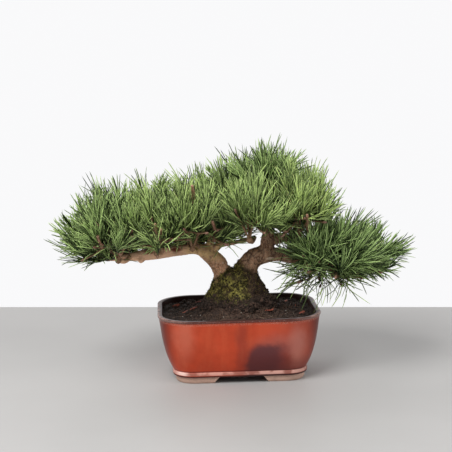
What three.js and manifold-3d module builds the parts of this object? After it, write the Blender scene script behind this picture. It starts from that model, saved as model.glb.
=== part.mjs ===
// A two-trunk mountain pine grown as a bonsai, standing in a glazed pot with round corners.
// Millimetres, +Z up, +X to the right of the front view, -Y towards the front.
// Everything is built round the middle of the pot, whose feet stand on z = 0. At the end the
// whole tree is moved so that the middle of its outline lies over the origin.
import * as THREE from 'three';
import { mergeVertices } from 'three/addons/utils/BufferGeometryUtils.js';
import Module from 'manifold-3d';

const wasm = await Module();
wasm.setup();
const { Manifold, Mesh: SolidMesh } = wasm;

// ---------------------------------------------------------------- driving dimensions

const GAP = 0.3; // clearance between neighbouring solids

const POT = {
  halfLength: 125, // rim, outside
  halfWidth: 95,
  height: 103,
  cornerRadius: 55,
  wall: 7,
  lipHeight: 3.6, // rounded edge that stands a little proud of the wall
  lipProud: 1.2,
  lipRound: 1.2,
  wallLean: 11.5, // how far the wall leans in on its way down
  bellyTuck: 10, // and how much more it tucks in near its foot
  tuckPower: 4,
  bandInset: 21.2, // the bead round the foot of the wall
  bandTop: 18.5,
  bandRound: 1.4,
  baseHeight: 10.4, // underside of the floor
  floorTop: 18.4,
  floorRound: 8, // inside, the wall curves into the floor over this width
  floorRise: 3, // and starts to curve this high
  straightWall: 12, // above the floor, where the inside of the wall is plain again
};

const FEET = {
  inset: 25, // outside of a foot, measured in from the rim
  taper: 3, // its sides slope in towards the ground
  thickness: 17,
  frontGap: 66, // clear length between the feet of one long side, under the floor
  sideGap: 56,
  gapFlare: 9, // each end of a gap slopes back by this much at the ground
  past: 0.1, // share by which a cut goes on below the ground
};

const DRAIN = {
  spacing: 110, // between the two holes in the floor
  radius: 10,
  sides: 12,
  screenSize: 34,
  screenThickness: 1.6,
  meshHole: 8,
  meshPitch: 13,
  meshCount: 2,
};

const SOIL = {
  edgeHeight: 94, // where it meets the wall
  mound: 15, // how much higher it is at the trunk
  moundRadius: 62,
  bump: 1.3, // height of its lumps, and their lengths
  lumpLengths: [9, 8, 13],
  rings: [0.82, 0.62, 0.42], // rows of points on its top, as shares of the way out
};

const NEEDLE = {
  length: 46,
  lengthSpread: 0.3, // shortest to longest, as a share of the length
  radius: 0.9,
  sides: 3,
  openAngle: 58, // degrees from the stem, for the lowest needle
  closeAngle: 16, // and for the highest
  angleSpread: 10,
  perShoot: 7,
  firstFoot: 0.1, // where the lowest needle stands on the leafy end of its shoot
  lastFoot: 0.97,
  shootTurn: 1.7, // from the first needle of one shoot to that of the next
  attempts: 36, // ways tried to pass clear of what is near
  turnStep: 0.26,
  openStep: 9,
  openSteps: 3,
};

const SHOOT = {
  perSpray: 6,
  leafy: 20, // length of its end that carries needles
  spread: 0.9, // how much the outer shoots of a spray lean outwards
  centre: 0.35, // how near the first shoot stands to the middle
  sprayTurn: 0.7, // from the first shoot of one spray to that of the next
  fromKnuckle: 3, // shoots that fork from the knuckle itself
  forkShare: 0.45, // where on an earlier shoot a later one forks
  footRadius: 1,
  tipRadius: 2,
  sides: 4,
  hubRadius: 6, // the knuckle that a spray's first shoots fork from
  hubDrop: 9, // how far it lies under the spray's middle
};

const CORNER_POINTS = 6; // points on each rounded corner of the pot
const OUTLINE_POINTS = 4 * CORNER_POINTS;
const GOLDEN_ANGLE = Math.PI * (3 - Math.sqrt(5));
const ANGLE_STEPS = [0.755, 0.3]; // steps per needle and per shoot that keep needles uneven
const LENGTH_STEPS = [0.57, 0.7];
const SAME_POINT = 1e-4;
const STEEP = 0.9; // a direction that rises more than this is nearly upright

// ---------------------------------------------------------------- solids and meshes

const UP = new THREE.Vector3(0, 0, 1);
const AHEAD = new THREE.Vector3(0, 1, 0);

function vector([x, y, z]) {
  return new THREE.Vector3(x, y, z);
}

function mix(from, to, share) {
  return from + (to - from) * share;
}

// Between -0.5 and 0.5, for needle `i` of shoot `seed`: what follows the point in a multiple
// of an odd step, which looks random and is the same each time.
function uneven([needleStep, shootStep], i, seed) {
  const value = needleStep * i + shootStep * seed;
  return value - Math.floor(value) - 0.5;
}

// Joins a geometry's shared vertices, drops its empty triangles, turns its faces outwards and
// makes it a solid.
function solidOf(geometry) {
  geometry.deleteAttribute('normal');
  geometry.deleteAttribute('uv');
  const merged = mergeVertices(geometry, SAME_POINT);
  const places = merged.getAttribute('position').array;
  const corner = (index) => vector(places.slice(3 * index, 3 * index + 3));
  const faces = [];
  let volume = 0;
  for (let i = 0; i < merged.index.count; i += 3) {
    const [a, b, c] = merged.index.array.slice(i, i + 3);
    if (a === b || b === c || c === a) continue;
    faces.push([a, b, c]);
    volume += corner(a).dot(corner(b).cross(corner(c)));
  }
  const outwards = faces.map(([a, b, c]) => (volume > 0 ? [a, b, c] : [a, c, b]));
  return new Manifold(new SolidMesh({
    numProp: 3,
    vertProperties: new Float32Array(places),
    triVerts: new Uint32Array(outwards.flat()),
  }));
}

function meshOf(name, solid, material) {
  const { vertProperties, triVerts } = solid.getMesh();
  const geometry = new THREE.BufferGeometry();
  geometry.setAttribute('position', new THREE.BufferAttribute(vertProperties, 3));
  geometry.setIndex(new THREE.BufferAttribute(triVerts, 1));
  geometry.computeVertexNormals();
  const mesh = new THREE.Mesh(geometry, material);
  mesh.name = name;
  return mesh;
}

function joined(solids) {
  return Manifold.union(solids);
}

// The main body of a solid, without the loose scraps that a cut leaves.
function largestBody(solid) {
  const bodies = solid.decompose();
  return bodies.reduce((largest, body) => (body.volume() > largest.volume() ? body : largest));
}

// A closed round tube through `route`, a list of [x, y, z, radius]. It is a capped cylinder
// bent along a smooth curve, with a row of corners at each point of the route, and `grow`
// makes it thicker all round.
function tube(route, sides, grow = 0) {
  const curve = new THREE.CatmullRomCurve3(route.map(vector));
  const last = route.length - 1;
  let across = Math.abs(curve.getTangent(0).z) < STEEP ? UP : AHEAD;
  const rings = route.map((point, row) => {
    const along = curve.getTangent(row / last);
    const side = new THREE.Vector3().crossVectors(across, along).normalize();
    across = new THREE.Vector3().crossVectors(along, side);
    const end = row === 0 ? -grow : row === last ? grow : 0;
    const centre = vector(point).addScaledVector(along, end);
    return { centre, side, across, radius: point[3] + grow };
  });
  const geometry = new THREE.CylinderGeometry(1, 1, last, sides, last);
  const places = geometry.getAttribute('position');
  for (let i = 0; i < places.count; i += 1) {
    const ring = rings[Math.round(places.getY(i) + last / 2)];
    const place = ring.centre.clone()
      .addScaledVector(ring.side, ring.radius * places.getX(i))
      .addScaledVector(ring.across, ring.radius * places.getZ(i));
    places.setXYZ(i, place.x, place.y, place.z);
  }
  return solidOf(geometry);
}

// Closed form lofted through `rows`, a list of [spread, z]. placeAt(step, spread, z) gives the
// point of each outline, and a spread of null closes the form at the axis.
function loft(rows, steps, placeAt) {
  const profile = rows.map(([spread, z]) => new THREE.Vector2(spread === null ? 0 : 1, z));
  const geometry = new THREE.LatheGeometry(profile, steps);
  const places = geometry.getAttribute('position');
  for (let i = 0; i < places.count; i += 1) {
    const [spread, z] = rows[i % rows.length];
    const step = Math.floor(i / rows.length) % steps;
    const place = spread === null ? [0, 0, z] : placeAt(step, spread, z);
    places.setXYZ(i, ...place);
  }
  return solidOf(geometry);
}

// ---------------------------------------------------------------- pot

// Point `step` of the rounded rectangle that lies `inset` inside the rim's outline.
function potOutline(step, inset, z) {
  const corner = Math.floor(step / CORNER_POINTS);
  const angle = (corner + (step % CORNER_POINTS) / (CORNER_POINTS - 1)) * (Math.PI / 2);
  const radius = POT.cornerRadius - inset;
  const sideX = corner === 0 || corner === 3 ? 1 : -1;
  const sideY = corner < 2 ? 1 : -1;
  const x = sideX * (POT.halfLength - POT.cornerRadius) + radius * Math.cos(angle);
  const y = sideY * (POT.halfWidth - POT.cornerRadius) + radius * Math.sin(angle);
  return [x, y, z];
}

// How far the outside of the wall lies inside the rim at height z.
function wallInset(z) {
  const down = (POT.height - z) / (POT.height - POT.bandTop);
  return POT.wallLean * down + POT.bellyTuck * down ** POT.tuckPower;
}

function innerInset(z) {
  return POT.wall + wallInset(z);
}

function evenHeights(from, to, count) {
  return Array.from({ length: count }, (_, i) => mix(from, to, i / (count - 1)));
}

// The rows where the inside of the pot curves into its floor, `spare` clear of its surface.
function floorCurve(spare, floor) {
  const foot = innerInset(POT.floorTop) + spare;
  return [
    [foot + POT.floorRound, floor],
    [foot + POT.floorRound / 4, floor + POT.floorRise],
  ];
}

function potBody() {
  const { height, lipHeight, lipProud, lipRound, wall } = POT;
  const { bandInset, bandTop, bandRound, baseHeight, floorTop, straightWall } = POT;
  const lipFoot = height - lipHeight;
  const outside = evenHeights(bandTop + bandRound, lipFoot, 5);
  const inside = evenHeights(lipFoot, floorTop + straightWall, 4);
  const rows = [
    [null, baseHeight],
    [bandInset + bandRound, baseHeight],
    [bandInset, baseHeight + bandRound],
    [bandInset, bandTop - bandRound],
    [bandInset + bandRound, bandTop],
    ...outside.map((z) => [wallInset(z) + lipProud, z]),
    [0, lipFoot + lipRound],
    [0, height - lipRound],
    [lipRound, height],
    [wall - lipRound, height],
    [wall, height - lipRound],
    ...inside.map((z) => [innerInset(z), z]),
    ...floorCurve(0, floorTop).reverse(),
    [null, floorTop],
  ];
  return loft(rows, OUTLINE_POINTS, potOutline);
}

// Bar whose section widens towards the ground, cut between two feet.
function footGap(length, run, turned) {
  const floor = POT.baseHeight;
  const foot = -floor * FEET.past;
  const spread = length / 2 + FEET.gapFlare * (1 + FEET.past);
  const outline = new THREE.Shape([
    new THREE.Vector2(-length / 2, floor),
    new THREE.Vector2(-spread, foot),
    new THREE.Vector2(spread, foot),
    new THREE.Vector2(length / 2, floor),
  ]);
  const bar = new THREE.ExtrudeGeometry(outline, { depth: run, bevelEnabled: false });
  bar.translate(0, 0, -run / 2);
  bar.rotateX(Math.PI / 2);
  if (turned) bar.rotateZ(Math.PI / 2);
  return solidOf(bar);
}

function potFeet() {
  const { inset, taper, thickness, frontGap, sideGap } = FEET;
  const top = POT.baseHeight + 1;
  const ring = loft(
    [[null, 0], [inset + taper, 0], [inset, top], [null, top]],
    OUTLINE_POINTS,
    potOutline,
  );
  const hollow = loft(
    [[null, -1], [inset + thickness, -1], [inset + thickness, top + 1], [null, top + 1]],
    OUTLINE_POINTS,
    potOutline,
  );
  const frontCut = footGap(frontGap, 3 * POT.halfWidth, false);
  const sideCut = footGap(sideGap, 3 * POT.halfLength, true);
  return ring.subtract(hollow).subtract(frontCut).subtract(sideCut);
}

function drainPlaces() {
  return [-DRAIN.spacing / 2, DRAIN.spacing / 2];
}

function drainHole(x) {
  const depth = 2 * POT.floorTop;
  const hole = new THREE.CylinderGeometry(DRAIN.radius, DRAIN.radius, depth, DRAIN.sides);
  hole.rotateX(Math.PI / 2);
  hole.translate(x, 0, POT.floorTop);
  return solidOf(hole);
}

function potSolid() {
  return joined([potBody(), potFeet()]).subtract(joined(drainPlaces().map(drainHole)));
}

// ---------------------------------------------------------------- drain screens

function box(sizeX, sizeY, sizeZ, x, y, z) {
  const geometry = new THREE.BoxGeometry(sizeX, sizeY, sizeZ);
  geometry.translate(x, y, z);
  return solidOf(geometry);
}

// Square of plastic mesh that keeps the soil from falling through a drain hole.
function drainScreen(x) {
  const { screenSize, screenThickness, meshHole, meshPitch, meshCount } = DRAIN;
  const z = POT.floorTop + GAP + screenThickness / 2;
  const holes = [];
  for (let column = 0; column < meshCount; column += 1) {
    for (let row = 0; row < meshCount; row += 1) {
      const across = (column - (meshCount - 1) / 2) * meshPitch;
      const deep = (row - (meshCount - 1) / 2) * meshPitch;
      holes.push(box(meshHole, meshHole, 4 * screenThickness, x + across, deep, z));
    }
  }
  return box(screenSize, screenSize, screenThickness, x, 0, z).subtract(joined(holes));
}

// ---------------------------------------------------------------- trunk and branches

// Root flare and lower trunk: [half size across, z], with the depth a share of it.
const TRUNK_BASE = [
  [null, 62],
  [30, 62],
  [42, 84],
  [54, 100],
  [53, 112],
  [45, 127],
  [36, 142],
  [32, 152],
  [24, 160],
  [null, 161],
];
const FLARE = {
  height: 104,
  reach: 24,
  ridge: 0.09, // how far a ridge stands out, as a share of the size
  ridges: 5,
  ridgeTurn: 1,
  depth: 0.86,
  steps: 18,
};

// Routes of the trunks and main branches, each a list of [x, y, z, radius].
const LIMBS = {
  left_leg: [[-14, 0, 132, 19], [-24, 0, 160, 13], [-33, 0, 177, 12.5], [-50, 0, 193, 12]],
  left_arm: [
    [-44, 0, 190, 12], [-64, 0, 196, 8.5], [-90, -2, 194.8, 8], [-118, 0, 192, 9.2],
    [-145, 2, 188, 8], [-170, 1, 185.6, 5.4], [-205, 0, 185, 3.6],
  ],
  left_knuckle: [[-146, 0, 186, 6], [-149, -2, 182, 5.2], [-152, -3, 179, 3.6]],
  left_riser: [[-46, 0, 194, 7], [-40, 0, 210, 5], [-34, 0, 226, 4]],
  right_leg: [[8, 0, 134, 21], [15, 0, 164, 16], [27, 0, 180, 14.5], [48, 0, 187, 13.5]],
  leader: [[46, 0, 186, 13], [48, 0, 206, 10], [50, 2, 230, 8], [52, 5, 258, 4.5]],
  right_arm: [
    [44, 0, 187, 13], [66, 2, 183, 10], [92, 4, 177, 7.5], [122, 3, 172, 5.8],
    [150, 1, 168, 4.6], [170, 0, 163, 3.6],
  ],
  right_upper: [[48, 0, 206, 9], [66, 2, 209, 7.8], [84, 5, 208, 6]],
  bridge: [[-38, 0, 195, 7], [-24, -1, 202, 4], [2, -3, 206, 3.2], [27, -8, 213, 3]],
};
const LIMB_SIDES = 7;
const BRANCH = { sides: 4, footRadius: 3.4, tipRadius: 2.4, bow: 0.08 };

// Each spray of needles: the limb that its branch leaves, how far along that limb, the middle
// of the spray, its reach in x and y, how high it domes, the lean of its shoots in x and y,
// and how steeply they rise at the middle and at the rim.
const SPRAYS = {
  left_tip: ['left_arm', 1, [-212, 0, 194], [24, 40], 24, [-0.24, 0], [1, 0.15]],
  left_outer_front: ['left_arm', 0.8, [-182, -46, 194], [34, 32], 36, [-0.1, -0.1], [1, 0.25]],
  left_outer_back: ['left_arm', 0.8, [-182, 50, 202], [36, 34], 46, [-0.1, 0.1], [1, 0.45]],
  left_mid_front: ['left_arm', 0.5, [-124, -48, 202], [34, 36], 40, [0, -0.1], [1, 0.3]],
  left_mid_back: ['left_arm', 0.5, [-130, 46, 206], [36, 38], 46, [0, 0.1], [1, 0.5]],
  left_inner_front: ['left_arm', 0.15, [-70, -50, 210], [32, 34], 34, [-0.05, -0.1], [1, 0.35]],
  left_inner_back: ['left_arm', 0.15, [-72, 46, 216], [36, 38], 38, [0, 0.1], [1, 0.5]],
  crown_left: ['left_riser', 1, [-26, 0, 249], [38, 42], 30, [-0.05, 0], [1, 0.5]],
  crown_front: ['bridge', 1, [16, -58, 226], [40, 34], 38, [0, -0.15], [1, 0.25]],
  crown_back: ['leader', 0.6, [20, 58, 240], [40, 36], 44, [0, 0.15], [1, 0.5]],
  crown_top: ['leader', 1, [50, 6, 279], [32, 38], 22, [0.05, 0], [1, 0.5]],
  crown_right_front: ['right_upper', 1, [93, -40, 230], [34, 34], 42, [0.08, -0.12], [1, 0.2]],
  crown_right_back: ['right_upper', 1, [93, 46, 237], [32, 36], 42, [0.08, 0.1], [1, 0.4]],
  right_inner: ['right_arm', 0.45, [104, -44, 182], [26, 24], 8, [0.25, -0.35], [0.7, 0.1]],
  right_back: ['right_arm', 0.75, [150, 46, 168], [40, 36], 28, [0.2, 0.15], [1, 0.2]],
  right_front: ['right_arm', 0.75, [148, -48, 166], [36, 32], 22, [0.25, -0.2], [0.9, 0]],
  right_tip: ['right_arm', 1, [190, 0, 161], [28, 42], 28, [0.4, 0], [0.9, 0.05]],
  right_under: ['right_arm', 0.65, [146, 0, 148], [38, 34], -2, [0.3, -0.05], [-0.05, 0.1]],
};
const SPRAY_NAMES = Object.keys(SPRAYS);

function sprayOf(name) {
  const [limb, share, middle, reach, dome, lean, rise] = SPRAYS[name];
  const hub = vector(middle);
  hub.z -= Math.sign(dome) * SHOOT.hubDrop;
  return { limb, share, middle, reach, dome, lean, rise, hub, index: SPRAY_NAMES.indexOf(name) };
}

function limbPoint(limb, share) {
  return new THREE.CatmullRomCurve3(LIMBS[limb].map(vector)).getPoint(share);
}

// The small branch that carries a spray, from its limb to the middle of the spray's knuckle.
function branchRoute(spray) {
  const foot = limbPoint(spray.limb, spray.share);
  const middle = foot.clone().lerp(spray.hub, 0.5);
  const bow = BRANCH.bow * foot.distanceTo(spray.hub) * Math.sign(spray.dome);
  const { footRadius, tipRadius } = BRANCH;
  return [
    [foot.x, foot.y, foot.z, footRadius],
    [middle.x, middle.y, middle.z - bow, mix(footRadius, tipRadius, 0.5)],
    [spray.hub.x, spray.hub.y, spray.hub.z, tipRadius],
  ];
}

// Stump, root flare and the foot of both trunks, with ridges where the main roots leave it.
function trunkBase(grow) {
  const { height, reach, ridge, ridges, ridgeTurn, depth, steps } = FLARE;
  const first = TRUNK_BASE[0][1];
  const rows = TRUNK_BASE.map(([size, z]) => [size, z + (z === first ? -grow : 0)]);
  return loft(rows, steps, (step, size, z) => {
    const angle = (step / steps) * 2 * Math.PI;
    const flare = Math.exp(-(((z - height) / reach) ** 2));
    const radius = size * (1 + ridge * flare * Math.cos(ridges * angle + ridgeTurn));
    const x = (radius + grow) * Math.cos(angle);
    const y = (radius * depth + grow) * Math.sin(angle);
    return [x, y, z];
  });
}

function trunkSolid(grow = 0) {
  const limbs = Object.values(LIMBS).map((route) => tube(route, LIMB_SIDES, grow));
  const branches = SPRAY_NAMES.map((name) => {
    return tube(branchRoute(sprayOf(name)), BRANCH.sides, grow);
  });
  return joined([trunkBase(grow), ...limbs, ...branches]);
}

// ---------------------------------------------------------------- soil

function soilTop(x, y) {
  const { edgeHeight, mound, moundRadius, bump, lumpLengths } = SOIL;
  const [first, second, third] = lumpLengths;
  const rise = mound * Math.exp(-(x * x + y * y) / (moundRadius * moundRadius));
  const lumps = Math.sin(x / first + 1) * Math.cos(y / second) + Math.sin((x + y) / third);
  return edgeHeight + rise + bump * lumps;
}

// Fills the pot up to a lumpy top, with a plain hole for the foot of the trunk.
function soilSolid(hole) {
  const bottom = POT.floorTop + GAP;
  const wallRows = evenHeights(bottom + POT.straightWall, SOIL.edgeHeight, 4);
  const edge = innerInset(SOIL.edgeHeight) + GAP;
  const rows = [
    [null, bottom],
    ...floorCurve(3 * GAP, bottom),
    ...wallRows.map((z) => [innerInset(z) + GAP, z]),
    ...SOIL.rings.map((share) => [share, null]),
    [null, soilTop(0, 0)],
  ];
  const body = loft(rows, OUTLINE_POINTS, (step, spread, z) => {
    if (z !== null) return potOutline(step, spread, z);
    const [x, y] = potOutline(step, edge, 0).map((value) => value * spread);
    return [x, y, soilTop(x, y)];
  });
  const { screenSize, screenThickness } = DRAIN;
  const room = screenSize + 2 * GAP;
  const pockets = drainPlaces().map((x) => box(room, room, 2 * (screenThickness + GAP), x, 0, bottom));
  return largestBody(body.subtract(joined(pockets)).subtract(hole));
}

// ---------------------------------------------------------------- sprays of needles

// The shoots of a spray. They fill its oval evenly: each is turned from the last by the golden
// angle, and lies further out by a square root. The first three fork from the knuckle and the
// others from an earlier shoot, and each carries its needles on its last stretch.
function shootsOf(spray) {
  const { middle, reach, dome, lean, rise, hub, index } = spray;
  const { perSpray, leafy, spread, centre, sprayTurn, fromKnuckle, forkShare } = SHOOT;
  const shoots = [];
  for (let k = 0; k < perSpray; k += 1) {
    const out = Math.sqrt((k + centre) / perSpray);
    const turn = k * GOLDEN_ANGLE + sprayTurn * index;
    const x = out * Math.cos(turn);
    const y = out * Math.sin(turn);
    const way = vector([spread * x + lean[0], spread * y + lean[1], mix(...rise, out * out)]);
    const tip = vector([reach[0] * x, reach[1] * y, dome * (1 - out * out)])
      .add(vector(middle))
      .addScaledVector(way.normalize(), leafy);
    const parent = k < fromKnuckle ? null : shoots[(k - fromKnuckle) % 2];
    const foot = parent ? parent.foot.clone().lerp(parent.tip, forkShare) : hub;
    const along = tip.clone().sub(foot).normalize();
    shoots.push({ foot, tip, way: along, start: tip.clone().addScaledVector(along, -leafy) });
  }
  return shoots;
}

// Shortest distance between two straight pieces, each { from, to }.
function distanceBetween(first, second) {
  const u = first.to.clone().sub(first.from);
  const v = second.to.clone().sub(second.from);
  const w = first.from.clone().sub(second.from);
  const [a, b, c, d, e] = [u.dot(u), u.dot(v), v.dot(v), u.dot(w), v.dot(w)];
  const clamp = (value) => Math.min(1, Math.max(0, value));
  const determinant = a * c - b * b;
  let s = determinant > 1e-9 ? clamp((b * e - c * d) / determinant) : 0;
  const t = clamp((b * s + e) / c);
  s = clamp((b * t - d) / a);
  return w.addScaledVector(u, s).addScaledVector(v, -t).length();
}

function straightPieces(route, owner) {
  return route.slice(1).map((point, i) => ({
    from: vector(route[i]),
    to: vector(point),
    radius: Math.max(route[i][3], point[3]),
    owner,
  }));
}

// Every woody piece that a needle has to pass clear of.
function woodPieces() {
  const pieces = Object.values(LIMBS).flatMap((route) => straightPieces(route, 'limb'));
  for (const name of SPRAY_NAMES) {
    const spray = sprayOf(name);
    pieces.push(...straightPieces(branchRoute(spray), 'branch'));
    const knuckleTop = spray.hub.clone().addScaledVector(UP, 1);
    pieces.push({ from: spray.hub, to: knuckleTop, radius: SHOOT.hubRadius, owner: name });
    shootsOf(spray).forEach(({ foot, tip }, k) => {
      pieces.push({ from: foot, to: tip, radius: SHOOT.tipRadius, owner: `${name} ${k}` });
    });
  }
  return pieces;
}

// Needle `i` of a shoot, as a straight piece turned by `turn` round the stem and opened by
// `open` from it. Needles stand round the stem by the golden angle and close up to its tip.
function needleOf(shoot, seed, i, turn, open) {
  const share = (i + 0.5) / NEEDLE.perShoot;
  const sideways = Math.abs(shoot.way.z) < STEEP ? UP : AHEAD;
  const right = new THREE.Vector3().crossVectors(shoot.way, sideways).normalize();
  const round = i * GOLDEN_ANGLE + NEEDLE.shootTurn * seed + turn;
  const side = right.applyAxisAngle(shoot.way, round);
  const loose = NEEDLE.angleSpread * uneven(ANGLE_STEPS, i, seed);
  const degrees = mix(NEEDLE.openAngle, NEEDLE.closeAngle, share) + loose + open;
  const angle = THREE.MathUtils.degToRad(degrees);
  const length = NEEDLE.length * (1 + NEEDLE.lengthSpread * uneven(LENGTH_STEPS, i, seed));
  const from = shoot.start.clone().lerp(shoot.tip, mix(NEEDLE.firstFoot, NEEDLE.lastFoot, share));
  const to = from.clone()
    .addScaledVector(shoot.way, length * Math.cos(angle))
    .addScaledVector(side, length * Math.sin(angle));
  return { from, to, radius: NEEDLE.radius };
}

// Places every needle. One that would touch another shoot, branch or needle is turned round
// its stem, and opened or closed a little, until it passes clear, and is left out if it can't.
function placeNeedles() {
  const placed = woodPieces();
  for (const name of SPRAY_NAMES) {
    const spray = sprayOf(name);
    shootsOf(spray).forEach((shoot, k) => {
      const owner = `${name} ${k}`;
      for (let i = 0; i < NEEDLE.perShoot; i += 1) {
        for (let attempt = 0; attempt < NEEDLE.attempts; attempt += 1) {
          const turn = (attempt % 2 ? -1 : 1) * Math.ceil(attempt / 2) * NEEDLE.turnStep;
          const open = -NEEDLE.openStep * (attempt % NEEDLE.openSteps);
          const needle = needleOf(shoot, 10 * spray.index + k, i, turn, open);
          const clear = placed.every((piece) => piece.owner === owner
            || distanceBetween(needle, piece) > needle.radius + piece.radius + 2 * GAP);
          if (clear) {
            placed.push({ ...needle, owner, spray: name });
            break;
          }
        }
      }
    });
  }
  return placed.filter((piece) => piece.spray);
}

function needleSolid({ from, to }) {
  const way = to.clone().sub(from);
  const cone = new THREE.ConeGeometry(NEEDLE.radius, way.length(), NEEDLE.sides);
  cone.translate(0, way.length() / 2, 0);
  cone.applyQuaternion(new THREE.Quaternion().setFromUnitVectors(AHEAD, way.normalize()));
  cone.translate(from.x, from.y, from.z);
  return solidOf(cone);
}

// One spray: a knuckle, the twigs that fork from it, and the needles round their ends.
function spraySolid(name, needles, wood) {
  const spray = sprayOf(name);
  const { hubRadius, footRadius, tipRadius, sides } = SHOOT;
  const { hub } = spray;
  const knuckle = new THREE.OctahedronGeometry(hubRadius);
  knuckle.translate(hub.x, hub.y, hub.z);
  const twigs = shootsOf(spray).map(({ foot, tip }) => {
    return tube([[foot.x, foot.y, foot.z, footRadius], [tip.x, tip.y, tip.z, tipRadius]], sides);
  });
  const own = needles.filter((needle) => needle.spray === name).map(needleSolid);
  return largestBody(joined([solidOf(knuckle), ...twigs, ...own]).subtract(wood));
}

// ---------------------------------------------------------------- the whole tree

function finish(color, roughness) {
  return new THREE.MeshStandardMaterial({ color, roughness, metalness: 0, flatShading: true });
}

function bonsai() {
  const roomForWood = trunkSolid(GAP);
  const needles = placeNeedles();
  const foliage = finish(0x6b8a4e, 0.55);
  const plastic = finish(0x2b2b2a, 0.6);
  const [leftDrain, rightDrain] = drainPlaces();
  const tree = new THREE.Group();
  tree.add(meshOf('pot', potSolid(), finish(0xa8452a, 0.28)));
  tree.add(meshOf('drain_screen_left', drainScreen(leftDrain), plastic));
  tree.add(meshOf('drain_screen_right', drainScreen(rightDrain), plastic));
  tree.add(meshOf('soil', soilSolid(roomForWood), finish(0x2a211c, 0.95)));
  tree.add(meshOf('trunk', trunkSolid(), finish(0x7d6450, 0.85)));
  for (const name of SPRAY_NAMES) {
    tree.add(meshOf(`spray_${name}`, spraySolid(name, needles, roomForWood), foliage));
  }
  const outline = new THREE.Box3().setFromObject(tree);
  const middle = outline.getCenter(new THREE.Vector3());
  tree.position.set(-middle.x, -middle.y, -outline.min.z);
  return tree;
}

export default bonsai();
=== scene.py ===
"""A mountain pine grown as a bonsai, with its soil, moss and glazed pot.

Metres, +Z up, +X to the right of the front view, -Y towards the front. Every shape is worked out
round the middle of the pot, and then moved to where the packed frame has the pot.
"""
import math
from collections import namedtuple

import bpy
import numpy as np
from bpy.props import FloatProperty, FloatVectorProperty, IntProperty, PointerProperty
from mathutils import Matrix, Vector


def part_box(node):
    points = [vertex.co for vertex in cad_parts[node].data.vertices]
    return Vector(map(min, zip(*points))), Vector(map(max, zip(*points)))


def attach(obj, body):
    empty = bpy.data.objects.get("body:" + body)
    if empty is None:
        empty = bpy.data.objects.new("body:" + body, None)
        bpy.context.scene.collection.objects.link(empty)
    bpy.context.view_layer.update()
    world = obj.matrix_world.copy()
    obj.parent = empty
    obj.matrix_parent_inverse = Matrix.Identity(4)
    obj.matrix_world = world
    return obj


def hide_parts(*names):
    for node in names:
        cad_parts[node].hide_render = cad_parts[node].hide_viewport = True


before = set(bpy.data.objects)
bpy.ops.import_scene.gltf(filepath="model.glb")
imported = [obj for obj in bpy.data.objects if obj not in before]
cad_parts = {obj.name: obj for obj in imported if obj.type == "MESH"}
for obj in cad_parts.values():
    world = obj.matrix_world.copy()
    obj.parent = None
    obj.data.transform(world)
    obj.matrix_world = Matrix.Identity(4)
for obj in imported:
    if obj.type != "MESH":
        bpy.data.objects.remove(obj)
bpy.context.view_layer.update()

bl_info = {
    "name": "Potted bonsai pine",
    "version": (1, 0, 0),
    "blender": (4, 5, 0),
    "location": "3D View > Sidebar > Bonsai",
    "description": "Builds a bonsai pine with its needles, bark, moss, soil and glazed pot",
    "category": "Add Mesh",
}

BODY = "root"

# ---------------------------------------------------------------- sizes of the pot and soil

POT_LOW, POT_HIGH = (np.array(corner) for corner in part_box("pot"))
MIDDLE = (POT_LOW + POT_HIGH) / 2 * (1, 1, 0)  # the middle of the pot, on the ground
HALF_LENGTH, HALF_WIDTH = (POT_HIGH - POT_LOW)[:2] / 2
RIM = POT_HIGH[2]
CORNER_RADIUS = 0.055
WALL = 0.007
WALL_LEAN = 0.0115  # how far inside the rim its lean brings the wall's foot
BELLY_TUCK = 0.010  # how much further the tuck of the belly brings it
LIP = 0.0036  # height of the lip
LIP_PROUD = 0.0012  # how far it stands out
LIP_ROUND = 0.0013  # radius of its edges
BEAD = 0.0016  # how far the bead round the foot band swells out
BAND_INSET = 0.0212
BAND_TOP = 0.0185
BASE = 0.0104  # underside of the floor
FLOOR_TOP = 0.0184
FLOOR_ROUND = (0.008, 0.003)  # width and height of the rounding where wall and floor meet
FOOT_INSET = 0.025
FOOT_THICKNESS = 0.017
FOOT_SINK = 0.0012  # how far a foot goes into the base
FOOT_LIFT = 0.0012  # height of the rounding along its lower edges
FOOT_GAPS = (0.066, 0.056)  # clear length between the feet of a long and of a short side
GAP_FLARE = 0.009  # how far each end of a foot slopes back on its way down
DRAIN_SPACING = 0.110
DRAIN_RADIUS = 0.010
SOIL_EDGE = 0.094
SOIL_SIDES = (0.035, 0.055, 0.075, 0.089)  # heights of the rings up the side of the soil
SOIL_GAP = 0.0003  # between it and the wall
SOIL_MOUND = 0.015
MOUND_RADIUS = 0.062
HEAP, HEAP_RADIUS, HEAP_WIDTH = 0.005, 0.048, 0.012  # soil pushed up against the root flare
LITTER_REACH = 0.93  # share of the soil's half length and width that litter lies on
GOLDEN = math.pi * (3 - math.sqrt(5))

# ---------------------------------------------------------------- routes of the wood


def metres(*rows):
    """Rows of numbers given in millimetres, as an array in metres."""
    return np.array(rows) / 1000


# Half size across and height of the root flare and lower trunk, from its foot up.
TRUNK_BASE = metres(
    (30, 62), (42, 84), (54, 100), (53, 112), (45, 127), (36, 142), (32, 152), (24, 160))
BASE_DEPTH = 0.86  # its size from front to back, as a share of that across
RIDGES, RIDGE = 5, 0.09  # number of ridges round the root flare, and how far they stand out
FLARE_HEIGHT, FLARE_REACH = 0.104, 0.024  # where they are strongest, and how soon they fade

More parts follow.
